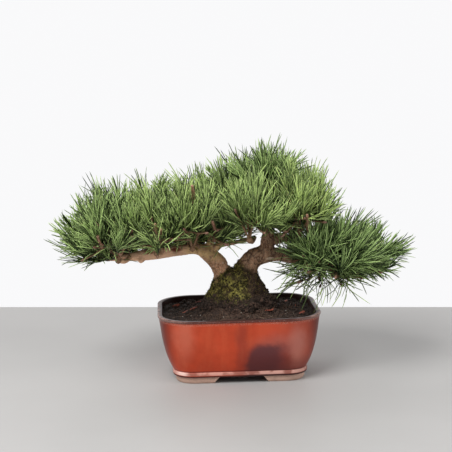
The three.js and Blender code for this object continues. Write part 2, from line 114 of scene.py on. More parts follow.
# Trunks and main branches: x, y, z and radius at each point.
LIMBS = {
    "left_leg": metres(
        (-14, 0, 132, 19), (-24, 0, 160, 13), (-33, 0, 177, 12.5), (-50, 0, 193, 12)),
    "left_arm": metres(
        (-44, 0, 190, 12), (-64, 0, 196, 8.5), (-90, -2, 194.8, 8), (-118, 0, 192, 9.2),
        (-145, 2, 188, 8), (-170, 1, 185.6, 5.4), (-205, 0, 185, 3.6)),
    "left_knuckle": metres((-146, 0, 186, 6), (-149, -2, 182, 5.2), (-152, -3, 179, 3.6)),
    "left_riser": metres((-46, 0, 194, 7), (-40, 0, 210, 5), (-34, 0, 226, 4)),
    "right_leg": metres((8, 0, 134, 21), (15, 0, 164, 16), (27, 0, 180, 14.5), (48, 0, 187, 13.5)),
    "leader": metres((46, 0, 186, 13), (48, 0, 206, 10), (50, 2, 230, 8), (52, 5, 258, 4.5)),
    "right_arm": metres(
        (44, 0, 187, 13), (66, 2, 183, 10), (92, 4, 177, 7.5), (122, 3, 172, 5.8),
        (150, 1, 168, 4.6), (170, 0, 163, 3.6)),
    "right_upper": metres((48, 0, 206, 9), (66, 2, 209, 7.8), (84, 5, 208, 6)),
    "bridge": metres((-38, 0, 195, 7), (-24, -1, 202, 4), (2, -3, 206, 3.2), (27, -8, 213, 3)),
}
KNOT = (-0.095, -0.012, 0.1955)  # middle of a knot on the left arm

# A spray leaves its limb so far along it, and has a middle, a reach in x and y and a dome. Its
# shoots lean in x and y, and rise so steeply at the middle and at the rim. Its pull turns its
# needles, its tone goes from dark blue-green, 0, to yellow-green, 1, and `full` is its share of
# the needles of a thick spray.
Spray = namedtuple("Spray", "limb along middle reach dome lean rise pull tone full")
SPRAYS = {
    "left_tip": Spray("left_arm", 1, (-0.212, 0, 0.194), (0.024, 0.040), 0.037,
                      (-0.24, 0), (1, 0.15), (-0.35, 0, 1.20), 0.45, 0.75),
    "left_outer_front": Spray("left_arm", 0.8, (-0.182, -0.046, 0.198), (0.034, 0.032), 0.034,
                              (-0.1, -0.1), (1, 0.25), (-0.40, 0, 1.70), 0.45, 0.9),
    "left_outer_back": Spray("left_arm", 0.8, (-0.180, 0.050, 0.198), (0.034, 0.034), 0.041,
                             (-0.1, 0.1), (1, 0.45), (-0.30, 0, 1.20), 0.5, 0.9),
    "left_mid_front": Spray("left_arm", 0.5, (-0.124, -0.048, 0.208), (0.034, 0.036), 0.036,
                            (0, -0.1), (1, 0.3), (-0.10, 0, 1.90), 0.55, 1),
    "left_mid_back": Spray("left_arm", 0.5, (-0.130, 0.046, 0.204), (0.036, 0.038), 0.046,
                           (0, 0.1), (1, 0.5), (0, 0, 1.10), 0.6, 0.9),
    "left_inner_front": Spray("left_arm", 0.15, (-0.070, -0.050, 0.214), (0.032, 0.034), 0.032,
                              (-0.05, -0.1), (1, 0.35), (0.05, 0, 1.90), 0.6, 1),
    "left_inner_back": Spray("left_arm", 0.15, (-0.072, 0.046, 0.216), (0.036, 0.038), 0.038,
                             (0, 0.1), (1, 0.5), (0, 0, 1.10), 0.6, 0.9),
    "crown_left": Spray("left_riser", 1, (-0.021, 0, 0.238), (0.038, 0.042), 0.028,
                        (-0.05, 0), (1, 0.5), (-0.10, 0, 1.10), 0.58, 0.9),
    "crown_front": Spray("bridge", 1, (0.016, -0.058, 0.226), (0.040, 0.034), 0.038,
                         (0, -0.15), (1, 0.25), (0, 0, 1.70), 0.62, 1),
    "crown_back": Spray("leader", 0.6, (0.025, 0.058, 0.240), (0.038, 0.036), 0.042,
                        (0, 0.15), (1, 0.5), (0, 0, 0.90), 0.5, 0.9),
    "crown_top": Spray("leader", 1, (0.055, 0.006, 0.279), (0.015, 0.034), 0.014,
                       (-0.03, 0), (2.0, 2.0), (0, 0, 2.10), 0.42, 0.75),
    "crown_right_front": Spray("right_upper", 1, (0.094, -0.040, 0.231), (0.031, 0.034), 0.044,
                               (0.0, -0.12), (1, 0.3), (-0.58, 0, 2.40), 0.8, 1),
    "crown_right_back": Spray("right_upper", 1, (0.100, 0.046, 0.235), (0.027, 0.036), 0.031,
                              (0.0, 0.1), (1, 0.5), (-0.20, 0, 1.60), 0.75, 0.9),
    "right_inner": Spray("right_arm", 0.45, (0.119, -0.044, 0.181), (0.025, 0.024), 0.008,
                         (0.25, -0.35), (0.7, 0.1), (0.90, 0, 0.55), 0.4, 0.75),
    "right_back": Spray("right_arm", 0.75, (0.142, 0.046, 0.165), (0.036, 0.036), 0.023,
                        (0.2, 0.15), (0.7, 0.05), (0.85, 0, 0.52), 0.33, 0.9),
    "right_front": Spray("right_arm", 0.75, (0.148, -0.048, 0.166), (0.036, 0.032), 0.022,
                         (0.25, -0.2), (0.9, 0), (0.75, 0, 0.85), 0.38, 1),
    "right_tip": Spray("right_arm", 1, (0.188, 0, 0.162), (0.028, 0.042), 0.018,
                       (0.4, 0), (0.7, 0.05), (1.00, 0, 0.60), 0.38, 0.9),
    "right_under": Spray("right_arm", 0.65, (0.143, 0, 0.153), (0.034, 0.034), -0.002,
                         (0.10, -0.05), (-0.05, 0.1), (0.45, 0, 0.55), 0.55, 0.4),
}
SPRAY_NAMES = list(SPRAYS)
HUB_DROP = 0.009  # how far a spray's hub, where its twigs part, lies below its middle
LEAFY = 0.020  # length of a shoot's leafy end
SHOOTS = 6  # shoots of a spray that the packed model has too
SHOOT_SPREAD = 0.9  # how far they lean outwards
FORK = 0.45  # how far along an earlier shoot the later ones leave it

# Height from the hub and radius of a spray's knuckle, from its foot up.
KNUCKLE = metres((-4.5, 1.2), (-2, 4.2), (1, 4.6), (5, 2.4))

# Small shoots that stand on the limbs themselves and close the foliage above them. Each row
# holds its foot and its tip in millimetres, and the share of its spray's pull that it feels.
SPRIGS = {
    "left_tip": [
        (-204, -2, 186, -228, -24, 206, 0.5), (-206, 2, 187, -232, 20, 214, 0.6),
        (-206, 0, 187, -224, 4, 230, 0.6), (-196, -4, 184, -212, -26, 186, 0.3),
        (-205, -3, 184, -230, -22, 186, 0.3)],
    "left_outer_front": [
        (-188, -5, 185, -196, -32, 188, 0.3), (-200, -3, 187, -216, -30, 202, 0.5),
        (-186, -3, 188, -192, -34, 200, 0.5), (-166, -5, 191, -168, -36, 208, 0.6)],
    "left_outer_back": [
        (-198, 3, 187, -206, 24, 196, 0.5), (-186, 4, 188, -200, 16, 193, 0.4),
        (-176, 4, 190, -180, 30, 202, 0.5), (-166, 5, 191, -184, 14, 190, 0.4),
        (-156, 5, 193, -157, 32, 208, 0.5), (-150, 5, 194, -168, 14, 193, 0.4)],
    "left_mid_front": [
        (-145, -6, 196, -146, -30, 214, 0.6), (-124, -6, 200, -123, -34, 226, 0.6),
        (-106, -5, 200, -104, -30, 218, 0.6)],
    "left_mid_back": [
        (-135, 6, 198, -134, 30, 212, 0.5), (-124, 6, 198, -142, 14, 197, 0.4),
        (-115, 6, 200, -113, 30, 214, 0.5), (-98, 6, 200, -116, 14, 201, 0.4)],
    "left_inner_front": [
        (-92, -6, 201, -89, -34, 222, 0.6), (-76, -6, 203, -76, -30, 226, 0.6),
        (-62, -6, 204, -60, -36, 226, 0.6), (-40, -8, 204, -36, -34, 234, 0.6)],
    "left_inner_back": [
        (-83, 5, 202, -82, 30, 218, 0.5), (-72, 6, 202, -90, 14, 203, 0.4),
        (-68, 6, 203, -66, 32, 220, 0.5), (-60, 5, 203, -73, 14, 209, 0.4),
        (-64, 5, 203, -52, 14, 210, 0.4), (-58, 6, 204, -40, 18, 212, 0.4),
        (-50, 6, 204, -46, 30, 226, 0.5), (-46, 5, 200, -60, 12, 203, 0.3)],
    "crown_left": [
        (-34, 3, 203, -16, 20, 212, 0.5), (-28, -3, 204, -26, -28, 216, 0.6),
        (-14, -3, 206, -10, -30, 214, 0.5), (-22, -3, 205, -18, -30, 228, 0.6),
        (-12, -3, 206, -6, -24, 232, 0.6), (-30, 3, 204, -28, 28, 226, 0.5)],
    "crown_front": [
        (6, -5, 209, 4, -36, 230, 0.6), (18, -7, 212, 20, -30, 236, 0.6),
        (48, -10, 224, 46, -58, 246, 0.0), (50, -8, 228, 64, -42, 244, 0.1)],
    "crown_back": [(44, 8, 222, 30, 34, 230, 0.6)],
    "crown_right_front": [(76, 0, 214, 84, -34, 234, 0.7), (82, 4, 211, 102, -20, 228, 0.4)],
    "right_inner": [(70, -6, 186, 78, -28, 197, 0.5)],
}
LOW_PULL = 0.15  # share of it that the lowest needles of each shoot feel
STEEPEST, HELD = -0.9, 0.75  # how far down needles may point: without pull, and less for its rise
MOST_HELD = 1.5
UNHELD = 0.25  # a sprig that feels less of the pull than this isn't held
STRAYS = 0.012  # share of needles that hang as they please
SWAY = 0.16  # how far all needles of a shoot bend together, never down
LOOSE = 5  # how much more the needles of a thin spray bend

# Long bare shoots that show between the needles: foot and tip.
CANDLES = metres(
    ((-120.5, -50, 208), (-125, -96, 253.2)), ((-119, -50, 208), (-116.4, -94, 244)),
    ((-35.2, -30, 213), (-41.5, -92, 253.4)), ((-68, -52, 272), (-69.8, -94, 307.5)),
    ((-204, -74, 217), (-210, -84, 235)), ((104, -50, 226), (98.7, -92, 260)))


# ---------------------------------------------------------------- what a user may change


class PotLook(bpy.types.PropertyGroup):
    """Colours and making marks of the pot."""

    glaze: FloatVectorProperty(
        name="Glaze", description="Colour of the glaze where it is thick and even",
        subtype="COLOR", size=3, default=(0.58, 0.072, 0.028))
    # On the front of the pot this colour paints a dark reflection; on the back it is burnt glaze.
    burn_and_dark_reflection: FloatVectorProperty(
        name="Burnt glaze", description="Colour of the glaze where the kiln darkened it",
        subtype="COLOR", size=3, default=(0.105, 0.028, 0.030))
    rim: FloatVectorProperty(
        name="Rim", description="Colour of the lip where the glaze runs thin",
        subtype="COLOR", size=3, default=(0.36, 0.215, 0.185))
    clay: FloatVectorProperty(
        name="Bare clay", description="Colour of the unglazed feet",
        subtype="COLOR", size=3, default=(0.62, 0.40, 0.31))
    unevenness: FloatProperty(
        name="Unevenness", description="How far the hand-finished wall strays from true",
        unit="LENGTH", default=0.0004)


class SoilLook(bpy.types.PropertyGroup):
    """Grain of the soil and what lies on it."""

    colour: FloatVectorProperty(
        name="Soil", description="Colour of the damp soil",
        subtype="COLOR", size=3, default=(0.043, 0.024, 0.016))
    crumbs: IntProperty(name="Crumbs", description="Loose crumbs on the soil", default=3600)
    crumb_size: FloatProperty(
        name="Crumb size", description="Half the width of a middling crumb",
        unit="LENGTH", default=0.0013)
    fibres: IntProperty(name="Fibres", description="Thin roots on the soil", default=44)
    fallen: IntProperty(
        name="Fallen needles", description="Old needles on the soil", default=46)


class WoodLook(bpy.types.PropertyGroup):
    """Detail and colours of the bark and moss."""

    cell: FloatProperty(
        name="Mesh cell", description="Cell of the grid that joins the limbs into one skin",
        unit="LENGTH", default=0.00125)
    crack: FloatProperty(
        name="Crack depth", description="Depth of the cracks between plates of old bark",
        unit="LENGTH", default=0.0011)
    young: FloatVectorProperty(
        name="Young bark", description="Colour of the smooth bark",
        subtype="COLOR", size=3, default=(0.70, 0.375, 0.215))
    old: FloatVectorProperty(
        name="Old bark", description="Colour of the rough bark",
        subtype="COLOR", size=3, default=(0.50, 0.29, 0.18))
    moss: FloatVectorProperty(
        name="Moss", description="Colour of the moss on the lower trunk",
        subtype="COLOR", size=3, default=(0.100, 0.088, 0.022))
    moss_leaves: IntProperty(
        name="Moss leaves", description="Leaves of moss on the lower trunk", default=14000)
    splashed: IntProperty(
        name="Soil on the trunk", description="Crumbs that cling to the root flare", default=1500)


class NeedleLook(bpy.types.PropertyGroup):
    """Size, number and colours of the needles."""

    length: FloatProperty(
        name="Length", description="Length of a middling needle",
        unit="LENGTH", default=0.046)
    width: FloatProperty(
        name="Width", description="Half the width of a needle",
        unit="LENGTH", default=0.00088)
    pairs: IntProperty(name="Pairs", description="Pairs of needles on a shoot", default=30)
    side_shoots: IntProperty(
        name="Side shoots", description="Small shoots added to each spray", default=9)
    light: FloatVectorProperty(
        name="Light green", description="Colour of the needles that catch the light",
        subtype="COLOR", size=3, default=(0.62, 0.82, 0.29))
    dark: FloatVectorProperty(
        name="Dark green", description="Colour of the shaded, older needles",
        subtype="COLOR", size=3, default=(0.009, 0.024, 0.003))


class StageLook(bpy.types.PropertyGroup):
    """The floor, the light and the camera."""

    floor: FloatVectorProperty(
        name="Floor", description="Colour of the plain floor",
        subtype="COLOR", size=3, default=(0.46, 0.45, 0.44))
    sky: FloatProperty(
        name="Wall", description="Brightness of the white wall behind the tree", default=0.96)
    room: FloatProperty(
        name="Room", description="Brightness of the room in front of it", default=0.26)
    key: FloatProperty(
        name="Key light", description="Strength of the window to the left",
        unit="POWER", default=68.0)
    lens: FloatProperty(
        name="Lens", description="Focal length in millimetres for a 36 mm sensor",
        default=95.575)


LOOKS = {
    "bonsai_pot": PotLook,
    "bonsai_soil": SoilLook,
    "bonsai_wood": WoodLook,
    "bonsai_needles": NeedleLook,
    "bonsai_stage": StageLook,
}


# ---------------------------------------------------------------- numbers and shapes


def mix(first, second, share):
    """The value that lies `share` of the way from the first to the second."""
    return first + (second - first) * share


def unit(vectors):
    """The vectors with their length made 1."""
    return vectors / np.linalg.norm(vectors, axis=-1, keepdims=True)


def smooth_step(values, low, high):
    """0 up to `low`, 1 from `high`, and 3s^2 - 2s^3 between."""
    share = np.clip((values - low) / (high - low), 0, 1)
    return share * share * (3 - 2 * share)


def cell_value(cell, seed):
    """A fixed value from 0 to 1 for each cell of whole numbers: its three numbers are
    multiplied by large odd ones, combined and folded."""
    made = (cell[..., 0] * 73856093) ^ (cell[..., 1] * 19349663) ^ (cell[..., 2] * 83492791)
    made = (made ^ (seed * 2654435761)) & 0xFFFFFFFF
    made = ((made ^ (made >> 15)) * 2246822519) & 0xFFFFFFFF
    return ((made ^ (made >> 13)) & 0xFFFF) / 0xFFFF


def noise(points, size, seed):
    """Smooth noise from -1 to 1: fixed values at the corners of cells of `size`, blended with
    the weight 3s^2 - 2s^3 along each side."""
    place = np.asarray(points) / size
    cell = np.floor(place).astype(np.int64)
    share = place - cell
    share = share * share * (3 - 2 * share)
    total = 0
    for corner in np.ndindex(2, 2, 2):
        weight = np.prod(np.where(corner, share, 1 - share), axis=-1)
        total = total + weight * cell_value(cell + np.array(corner), seed)
    return 2 * total - 1


def rough(points, size, seed, octaves):
    """Noise with finer and finer noise added, each half the size and strength of the last."""
    return sum(noise(points, size / 2**k, seed + k) / 2**k for k in range(octaves))


def plates(points, size, seed):
    """Distance to the seam between the cells round scattered points, as a share of `size`:
    the second nearest point's distance less the nearest one's."""
    place = np.asarray(points) / size
    cell = np.floor(place).astype(np.int64)
    nearest = np.full(len(place), 9.0)
    second = np.full(len(place), 9.0)
    for corner in np.ndindex(3, 3, 3):
        there = cell + np.array(corner) - 1
        seat = there + np.stack([cell_value(there, seed + k) for k in range(3)], -1)
        distance = np.linalg.norm(seat - place, axis=-1)
        second = np.minimum(second, np.maximum(nearest, distance))
        nearest = np.minimum(nearest, distance)
    return second - nearest


def curve_through(route, count):
    """`count` rows along a smooth curve through the rows of `route`: between two rows, the
    cubic whose slope at each row is half the step from the row before to the row after."""
    route = np.asarray(route, float)
    ends = np.concatenate([[2 * route[0] - route[1]], route, [2 * route[-1] - route[-2]]])
    place = np.linspace(0, len(route) - 1, count)
    row = np.minimum(place.astype(int), len(route) - 2)
    s = (place - row)[:, None]
    a, b, c, d = (ends[row + k] for k in range(4))
    return b + 0.5 * s * (c - a + s * (2 * a - 5 * b + 4 * c - d + s * (3 * (b - c) + d - a)))


# A shape is its points, its quads and its triangles.
NO_FACES = np.zeros((0, 3), int)


def grid_faces(rows, columns):
    """Quads of a grid of points numbered row by row, its last column joined to its first."""
    row, column = np.meshgrid(np.arange(rows - 1), np.arange(columns), indexing="ij")
    following = (column + 1) % columns
    low, high = row * columns, (row + 1) * columns
    quads = np.stack([low + column, low + following, high + following, high + column], -1)
    return quads.reshape(-1, 4)


def fan(first, count, centre):
    """Triangles from a ring of `count` points to one point at its middle."""
    here = first + np.arange(count)
    following = first + (np.arange(count) + 1) % count
    return np.stack([here, following, np.full(count, centre)], -1)


def closed_rings(rings, first, last):
    """Rings of points, ring by point by xyz, joined into one skin, which one point closes at
    each end."""
    count, around = rings.shape[:2]
    points = np.concatenate([rings.reshape(-1, 3), [first, last]])
    near = fan(0, around, count * around)[:, [1, 0, 2]]
    far = fan((count - 1) * around, around, count * around + 1)
    return points, grid_faces(count, around), np.concatenate([near, far])


def tubes(paths, radii, sides, flat=1.0, roll=0.0, pointed=False):
    """Closed tubes along `paths`, an array of paths, points and xyz. At each point the ring is
    radius times (cos, sin) along two directions across the path: the path crossed with the
    axis that it follows least, and the path crossed with that. `flat` squeezes the second and
    `roll` turns each ring. A pointed tube ends in its path's last point, without a ring."""
    paths = np.asarray(paths, float)
    count, rows = paths.shape[:2]
    course = unit(np.gradient(paths, axis=1))
    least = np.abs(paths[:, -1] - paths[:, 0]).argmin(1)
    side = unit(np.cross(course, np.eye(3)[least][:, None, :]))
    top = np.cross(course, side)
    angle = np.arange(sides) * 2 * np.pi / sides + np.reshape(roll, (-1, 1, 1))
    ring = np.cos(angle)[..., None] * side[:, :, None] + (
        flat * np.sin(angle)[..., None] * top[:, :, None])
    points = paths[:, :, None] + np.broadcast_to(radii, (count, rows))[..., None, None] * ring
    points = points.reshape(count, rows * sides, 3)
    inner = np.arange(1, sides - 1)
    start = np.stack([np.zeros_like(inner), inner + 1, inner], -1)
    end = start[:, ::-1] + (rows - 1) * sides
    if pointed:
        rows -= 1
        points = np.concatenate([points[:, :rows * sides], paths[:, -1:]], axis=1)
        end = fan((rows - 1) * sides, sides, rows * sides)
    shift = np.arange(count)[:, None, None] * points.shape[1]
    quads = (grid_faces(rows, sides) + shift).reshape(-1, 4)
    triangles = (np.concatenate([start, end]) + shift).reshape(-1, 3)
    return points.reshape(-1, 3), quads, triangles


def stones(centres, sizes, seed, height=1.0):
    """One lump at each centre: a 20-faced ball whose corners are pushed in and out, with its
    height multiplied by `height`, turned about the vertical."""
    draw = np.random.default_rng(seed)
    long = (1 + math.sqrt(5)) / 2
    corners = np.array([
        (-1, long, 0), (1, long, 0), (-1, -long, 0), (1, -long, 0),
        (0, -1, long), (0, 1, long), (0, -1, -long), (0, 1, -long),
        (long, 0, -1), (long, 0, 1), (-long, 0, -1), (-long, 0, 1)]) / math.hypot(1, long)
    faces = np.array([
        (0, 11, 5), (0, 5, 1), (0, 1, 7), (0, 7, 10), (0, 10, 11), (1, 5, 9), (5, 11, 4),
        (11, 10, 2), (10, 7, 6), (7, 1, 8), (3, 9, 4), (3, 4, 2), (3, 2, 6), (3, 6, 8),
        (3, 8, 9), (4, 9, 5), (2, 4, 11), (6, 2, 10), (8, 6, 7), (9, 8, 1)])
    count = len(centres)
    bumps = draw.uniform(0.7, 1.25, (count, 12, 1))
    points = corners * bumps * np.reshape(sizes, (-1, 1, 1)) * (1, 1, height)
    turn = draw.uniform(0, 2 * np.pi, (count, 1))
    x = points[..., 0] * np.cos(turn) - points[..., 1] * np.sin(turn)
    y = points[..., 0] * np.sin(turn) + points[..., 1] * np.cos(turn)
    points = np.stack([x, y, points[..., 2]], -1) + np.asarray(centres)[:, None]
    shift = np.arange(count)[:, None, None] * 12
    return points.reshape(-1, 3), NO_FACES, (faces + shift).reshape(-1, 3)


def together(*shapes):
    """Joins shapes into one, with the numbers of their points moved on."""
    starts = np.cumsum([0] + [len(points) for points, _, _ in shapes])
    quads = [quads.reshape(-1, 4) + start for start, (_, quads, _) in zip(starts, shapes)]
    faces = [faces + start for start, (_, _, faces) in zip(starts, shapes)]
    points = [points for points, _, _ in shapes]
    return np.concatenate(points), np.concatenate(quads), np.concatenate(faces)


# ---------------------------------------------------------------- meshes and pieces


def new_mesh(name, points, quads, triangles):
    """Fills a mesh from whole arrays, moved from the middle of the pot to its place."""
    points = np.asarray(points) + MIDDLE
    corners = np.concatenate([np.ravel(quads), np.ravel(triangles)]).astype(np.int32)
    sizes = np.concatenate([np.full(len(quads), 4), np.full(len(triangles), 3)])
    starts = np.concatenate([[0], np.cumsum(sizes)[:-1]]).astype(np.int32)
    mesh = bpy.data.meshes.new(name)
    mesh.vertices.add(len(points))
    mesh.vertices.foreach_set("co", points.astype(np.float32).ravel())
    mesh.loops.add(len(corners))
    mesh.loops.foreach_set("vertex_index", corners)
    mesh.polygons.add(len(sizes))
    mesh.polygons.foreach_set("loop_start", starts)
    mesh.update(calc_edges=True)
    mesh.validate()
    return mesh


def add_piece(mesh, material, replaces=None, crisp=None):
    """Puts a finished mesh into the scene as a piece of the tree. It is shaded smooth, with
    edges sharper than `crisp` degrees left crisp."""
    mesh.polygons.foreach_set("use_smooth", np.ones(len(mesh.polygons), bool))
    if crisp is not None:
        mesh.set_sharp_from_angle(angle=math.radians(crisp))
    mesh.materials.append(material)
    made = bpy.data.objects.new(mesh.name, mesh)
    bpy.context.scene.collection.objects.link(made)
    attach(made, BODY)
    if replaces:
        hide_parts(replaces)


def paint(mesh, name, *channels):
    """Stores one colour for each point, under `name`, for a material to read."""
    layer = mesh.attributes.new(name, "FLOAT_COLOR", "POINT")
    colours = np.column_stack([*channels, np.ones(len(mesh.vertices))])
    layer.data.foreach_set("color", colours.astype(np.float32).ravel())


def skin_of(mesh):
    """A mesh's points, measured from the middle of the pot, and its normals."""
    found = []
    for rows, name in ((mesh.vertices, "co"), (mesh.vertex_normals, "vector")):
        values = np.zeros(len(rows) * 3, np.float32)
        rows.foreach_get(name, values)
        found.append(values.reshape(-1, 3).astype(float))
    return found[0] - MIDDLE, found[1]


def set_points(mesh, points):
    mesh.vertices.foreach_set("co", (points + MIDDLE).astype(np.float32).ravel())
    mesh.update()


def through_modifiers(mesh, *settings):
    """The mesh after a row of modifiers, each given as its kind and its settings."""
    carrier = bpy.data.objects.new("carrier", mesh)
    bpy.context.scene.collection.objects.link(carrier)
    for kind, values in settings:
        modifier = carrier.modifiers.new(kind, kind)
        for name, value in values.items():
            setattr(modifier, name, value)
    bpy.context.view_layer.update()
    graph = bpy.context.evaluated_depsgraph_get()
    made = bpy.data.meshes.new_from_object(carrier.evaluated_get(graph))
    name = mesh.name
    bpy.data.objects.remove(carrier)
    bpy.data.meshes.remove(mesh)
    made.name = name
    return made


# ---------------------------------------------------------------- materials


def dimmed(colour, share):
    """A colour with each channel multiplied."""
    return tuple(channel * share for channel in colour[:3])


class Nodes:
    """The node tree of a material or world, with short ways to add what this scene uses."""

    def __init__(self, owner):
        self.owner = owner
        self.owner.use_nodes = True
        self.tree = self.owner.node_tree
        self.tree.nodes.clear()
        self.place = self.add("TexCoord").outputs["Object"]

    def add(self, kind, inputs=None, **settings):
        node = self.tree.nodes.new("ShaderNode" + kind)
        for name, value in settings.items():
            setattr(node, name, value)
        for name, value in (inputs or {}).items():
            if isinstance(value, bpy.types.NodeSocket):
                self.tree.links.new(value, node.inputs[name])
            elif node.inputs[name].type == "RGBA":
                node.inputs[name].default_value = (*value[:3], 1.0)
            else:
                node.inputs[name].default_value = value
        return node

    def noise(self, scale, detail, roughness, vector=None):
        """Noise of so many lumps a metre, from 0 to 1."""
        inputs = {"Vector": vector or self.place, "Scale": scale, "Detail": detail,
                  "Roughness": roughness}
        return self.add("TexNoise", inputs).outputs["Fac"]

    def axes(self):
        """X, Y and Z of the place on the object, measured from the middle of the pot."""
        moved = self.add("Mapping", {"Vector": self.place, "Location": tuple(-MIDDLE)})
        return self.add("SeparateXYZ", {0: moved.outputs[0]}).outputs

    def stored(self, name):
        """The three values that are painted on the mesh under `name`."""
        colour = self.add("Attribute", attribute_name=name).outputs["Color"]
        return self.add("SeparateColor", {0: colour}).outputs[:3]

    def math(self, operation, first, *others):
        """One step of a sum for each of the others, or one for a value by itself."""
        for other in others or (0.0,):
            first = self.add("Math", {0: first, 1: other}, operation=operation).outputs[0]
        return first

    def plus(self, *terms):
        return self.math("ADD", *terms)

    def times(self, *factors):
        return self.math("MULTIPLY", *factors) if len(factors) > 1 else factors[0]

    def away(self, value, centre=None):
        """How far a value is from `centre`, or from 0."""
        off = value if centre is None else self.math("SUBTRACT", value, centre)
        return self.math("ABSOLUTE", off)

    def share(self, value, low, high):
        """0 below `low`, 1 above `high`, and smooth between."""
        inputs = {"Value": value, "From Min": low, "From Max": high}
        if low > high:
            inputs.update({"From Min": high, "From Max": low, "To Min": 1.0, "To Max": 0.0})
        return self.add("MapRange", inputs, interpolation_type="SMOOTHSTEP").outputs[0]

    def band(self, value, start, full, fading, end):
        """1 from `full` to `fading`, and 0 before `start` and after `end`."""
        return self.times(self.share(value, start, full), self.share(value, end, fading))

    def spot(self, across, up, middle, half, power, soft):
        """1 in the middle of a rounded place and 0 past its edge: how far out a point lies is
        (|across / half|^power + |up / half|^power)^(1 / power)."""
        terms = []
        for value, centre, size in zip((across, up), middle, half):
            off = self.math("DIVIDE", self.math("SUBTRACT", value, centre), size)
            terms.append(self.math("POWER", self.away(off), power))
        out = self.math("POWER", self.plus(*terms), 1 / power)
        return self.share(out, 1 + soft / 2, 1 - soft / 2)

    def blend(self, below, above, *masks):
        """The colour `above` over the colour `below`, as far as all masks are 1."""
        inputs = {0: self.times(*masks), 6: below, 7: above}
        return self.add("Mix", inputs, data_type="RGBA").outputs[2]

    def layers(self, colour, *rows):
        """More colours over a colour. Each row is a value, where it has no and its full effect,
        the weight of that, and the colour."""
        for value, low, high, weight, above in rows:
            masks = (self.share(value, low, high), weight)
            colour = self.blend(colour, above, *(masks if weight < 1 else masks[:1]))
        return colour

    def finish(self, colour, roughness, height=None, depth=0.001, **constants):
        """Joins the shader to colour, roughness and bump, and sets its constants."""
        inputs = {"Base Color": colour, "Roughness": roughness}
        inputs.update({name.replace("_", " "): value for name, value in constants.items()})
        if height is not None:
            bump = self.add("Bump", {"Strength": 1.0, "Distance": depth, "Height": height})
            inputs["Normal"] = bump.outputs[0]
        shader = self.add("BsdfPrincipled", inputs)
        self.add("OutputMaterial", {0: shader.outputs[0]})
        return self.owner


def nodes_of(name):
    return Nodes(bpy.data.materials.new(name))


# Plain finishes of two colours: those, how many lumps of grain a metre has and how detailed
# they are, up to where the first colour is alone and from where the second one is, roughness,
# depth of the bump and shine.
PLAIN = {
    "perlite": ((0.50, 0.46, 0.40), (0.22, 0.18, 0.14), 900, 4, 0.35, 0.68, 0.9, 0.0004, 0.5),
    "red_bark": ((0.34, 0.085, 0.045), (0.16, 0.035, 0.022), 500, 4, 0.35, 0.68, 0.7, 0.0004, 0.5),
    "root_fibre": ((0.27, 0.18, 0.12), (0.11, 0.065, 0.045), 400, 4, 0.35, 0.68, 0.7, 0.0004, 0.5),
    "dry_needle": ((0.15, 0.085, 0.05), (0.07, 0.036, 0.022), 300, 4, 0.35, 0.68, 0.7, 0.0004, 0.5),
    "twig_bark": ((0.19, 0.098, 0.052), (0.34, 0.21, 0.12), 800, 3, 0.35, 0.65, 0.75, 0.0005, 0.35),
    "winter_bud": (
        (0.18, 0.072, 0.042), (0.348, 0.216, 0.15), 1100, 3, 0.4, 0.62, 0.6, 0.0004, 0.5),
    "candle_bud": ((0.30, 0.12, 0.07), (0.58, 0.36, 0.25), 1100, 3, 0.4, 0.62, 0.6, 0.0004, 0.5),
}


def plain_material(name):
    """Two colours mixed by a fine grain."""
    first, second, scale, detail, low, high, roughness, depth, shine = PLAIN[name]
    n = nodes_of(name)
    grain = n.noise(scale, detail, 0.6)
    colour = n.blend(first, second, n.share(grain, low, high))
    return n.finish(colour, roughness, grain, depth, Specular_IOR_Level=shine)


# Painted reflections on the glaze of the front: pale ones of soft windows near its corners and
# above the dark place, and a dark one that carries the painted dark reflection down to the right.
# Each has a middle, half size, weight and colour.
PAINTED_GLAZE_REFLECTIONS = [
    ((-0.086, 0.080), (0.014, 0.034), 0.25, (0.80, 0.30, 0.20)),
    ((0.080, 0.016), (0.030, 0.024), 0.75, (0.17, 0.040, 0.030)),
    ((0.084, 0.058), (0.012, 0.026), 0.60, (0.54, 0.22, 0.17)),
    ((0.060, 0.064), (0.036, 0.014), 0.50, (0.36, 0.12, 0.095)),
]
# The dark rounded place on the front is a painted reflection of something dark.
PAINTED_DARK_REFLECTION = ((0.046, 0.026), (0.040, 0.038), 3.0, 0.34)  # middle, half size, power, softness
BURNT_BACK = ((-0.036, 0.040), (0.040, 0.040), 2.0, 1.2)
# A darker vertical streak down the middle of the front, at the left edge of the dark place.
FRONT_DARK_STREAK = ((0.000, 0.058), (0.008, 0.040), 2.2, 1.5)


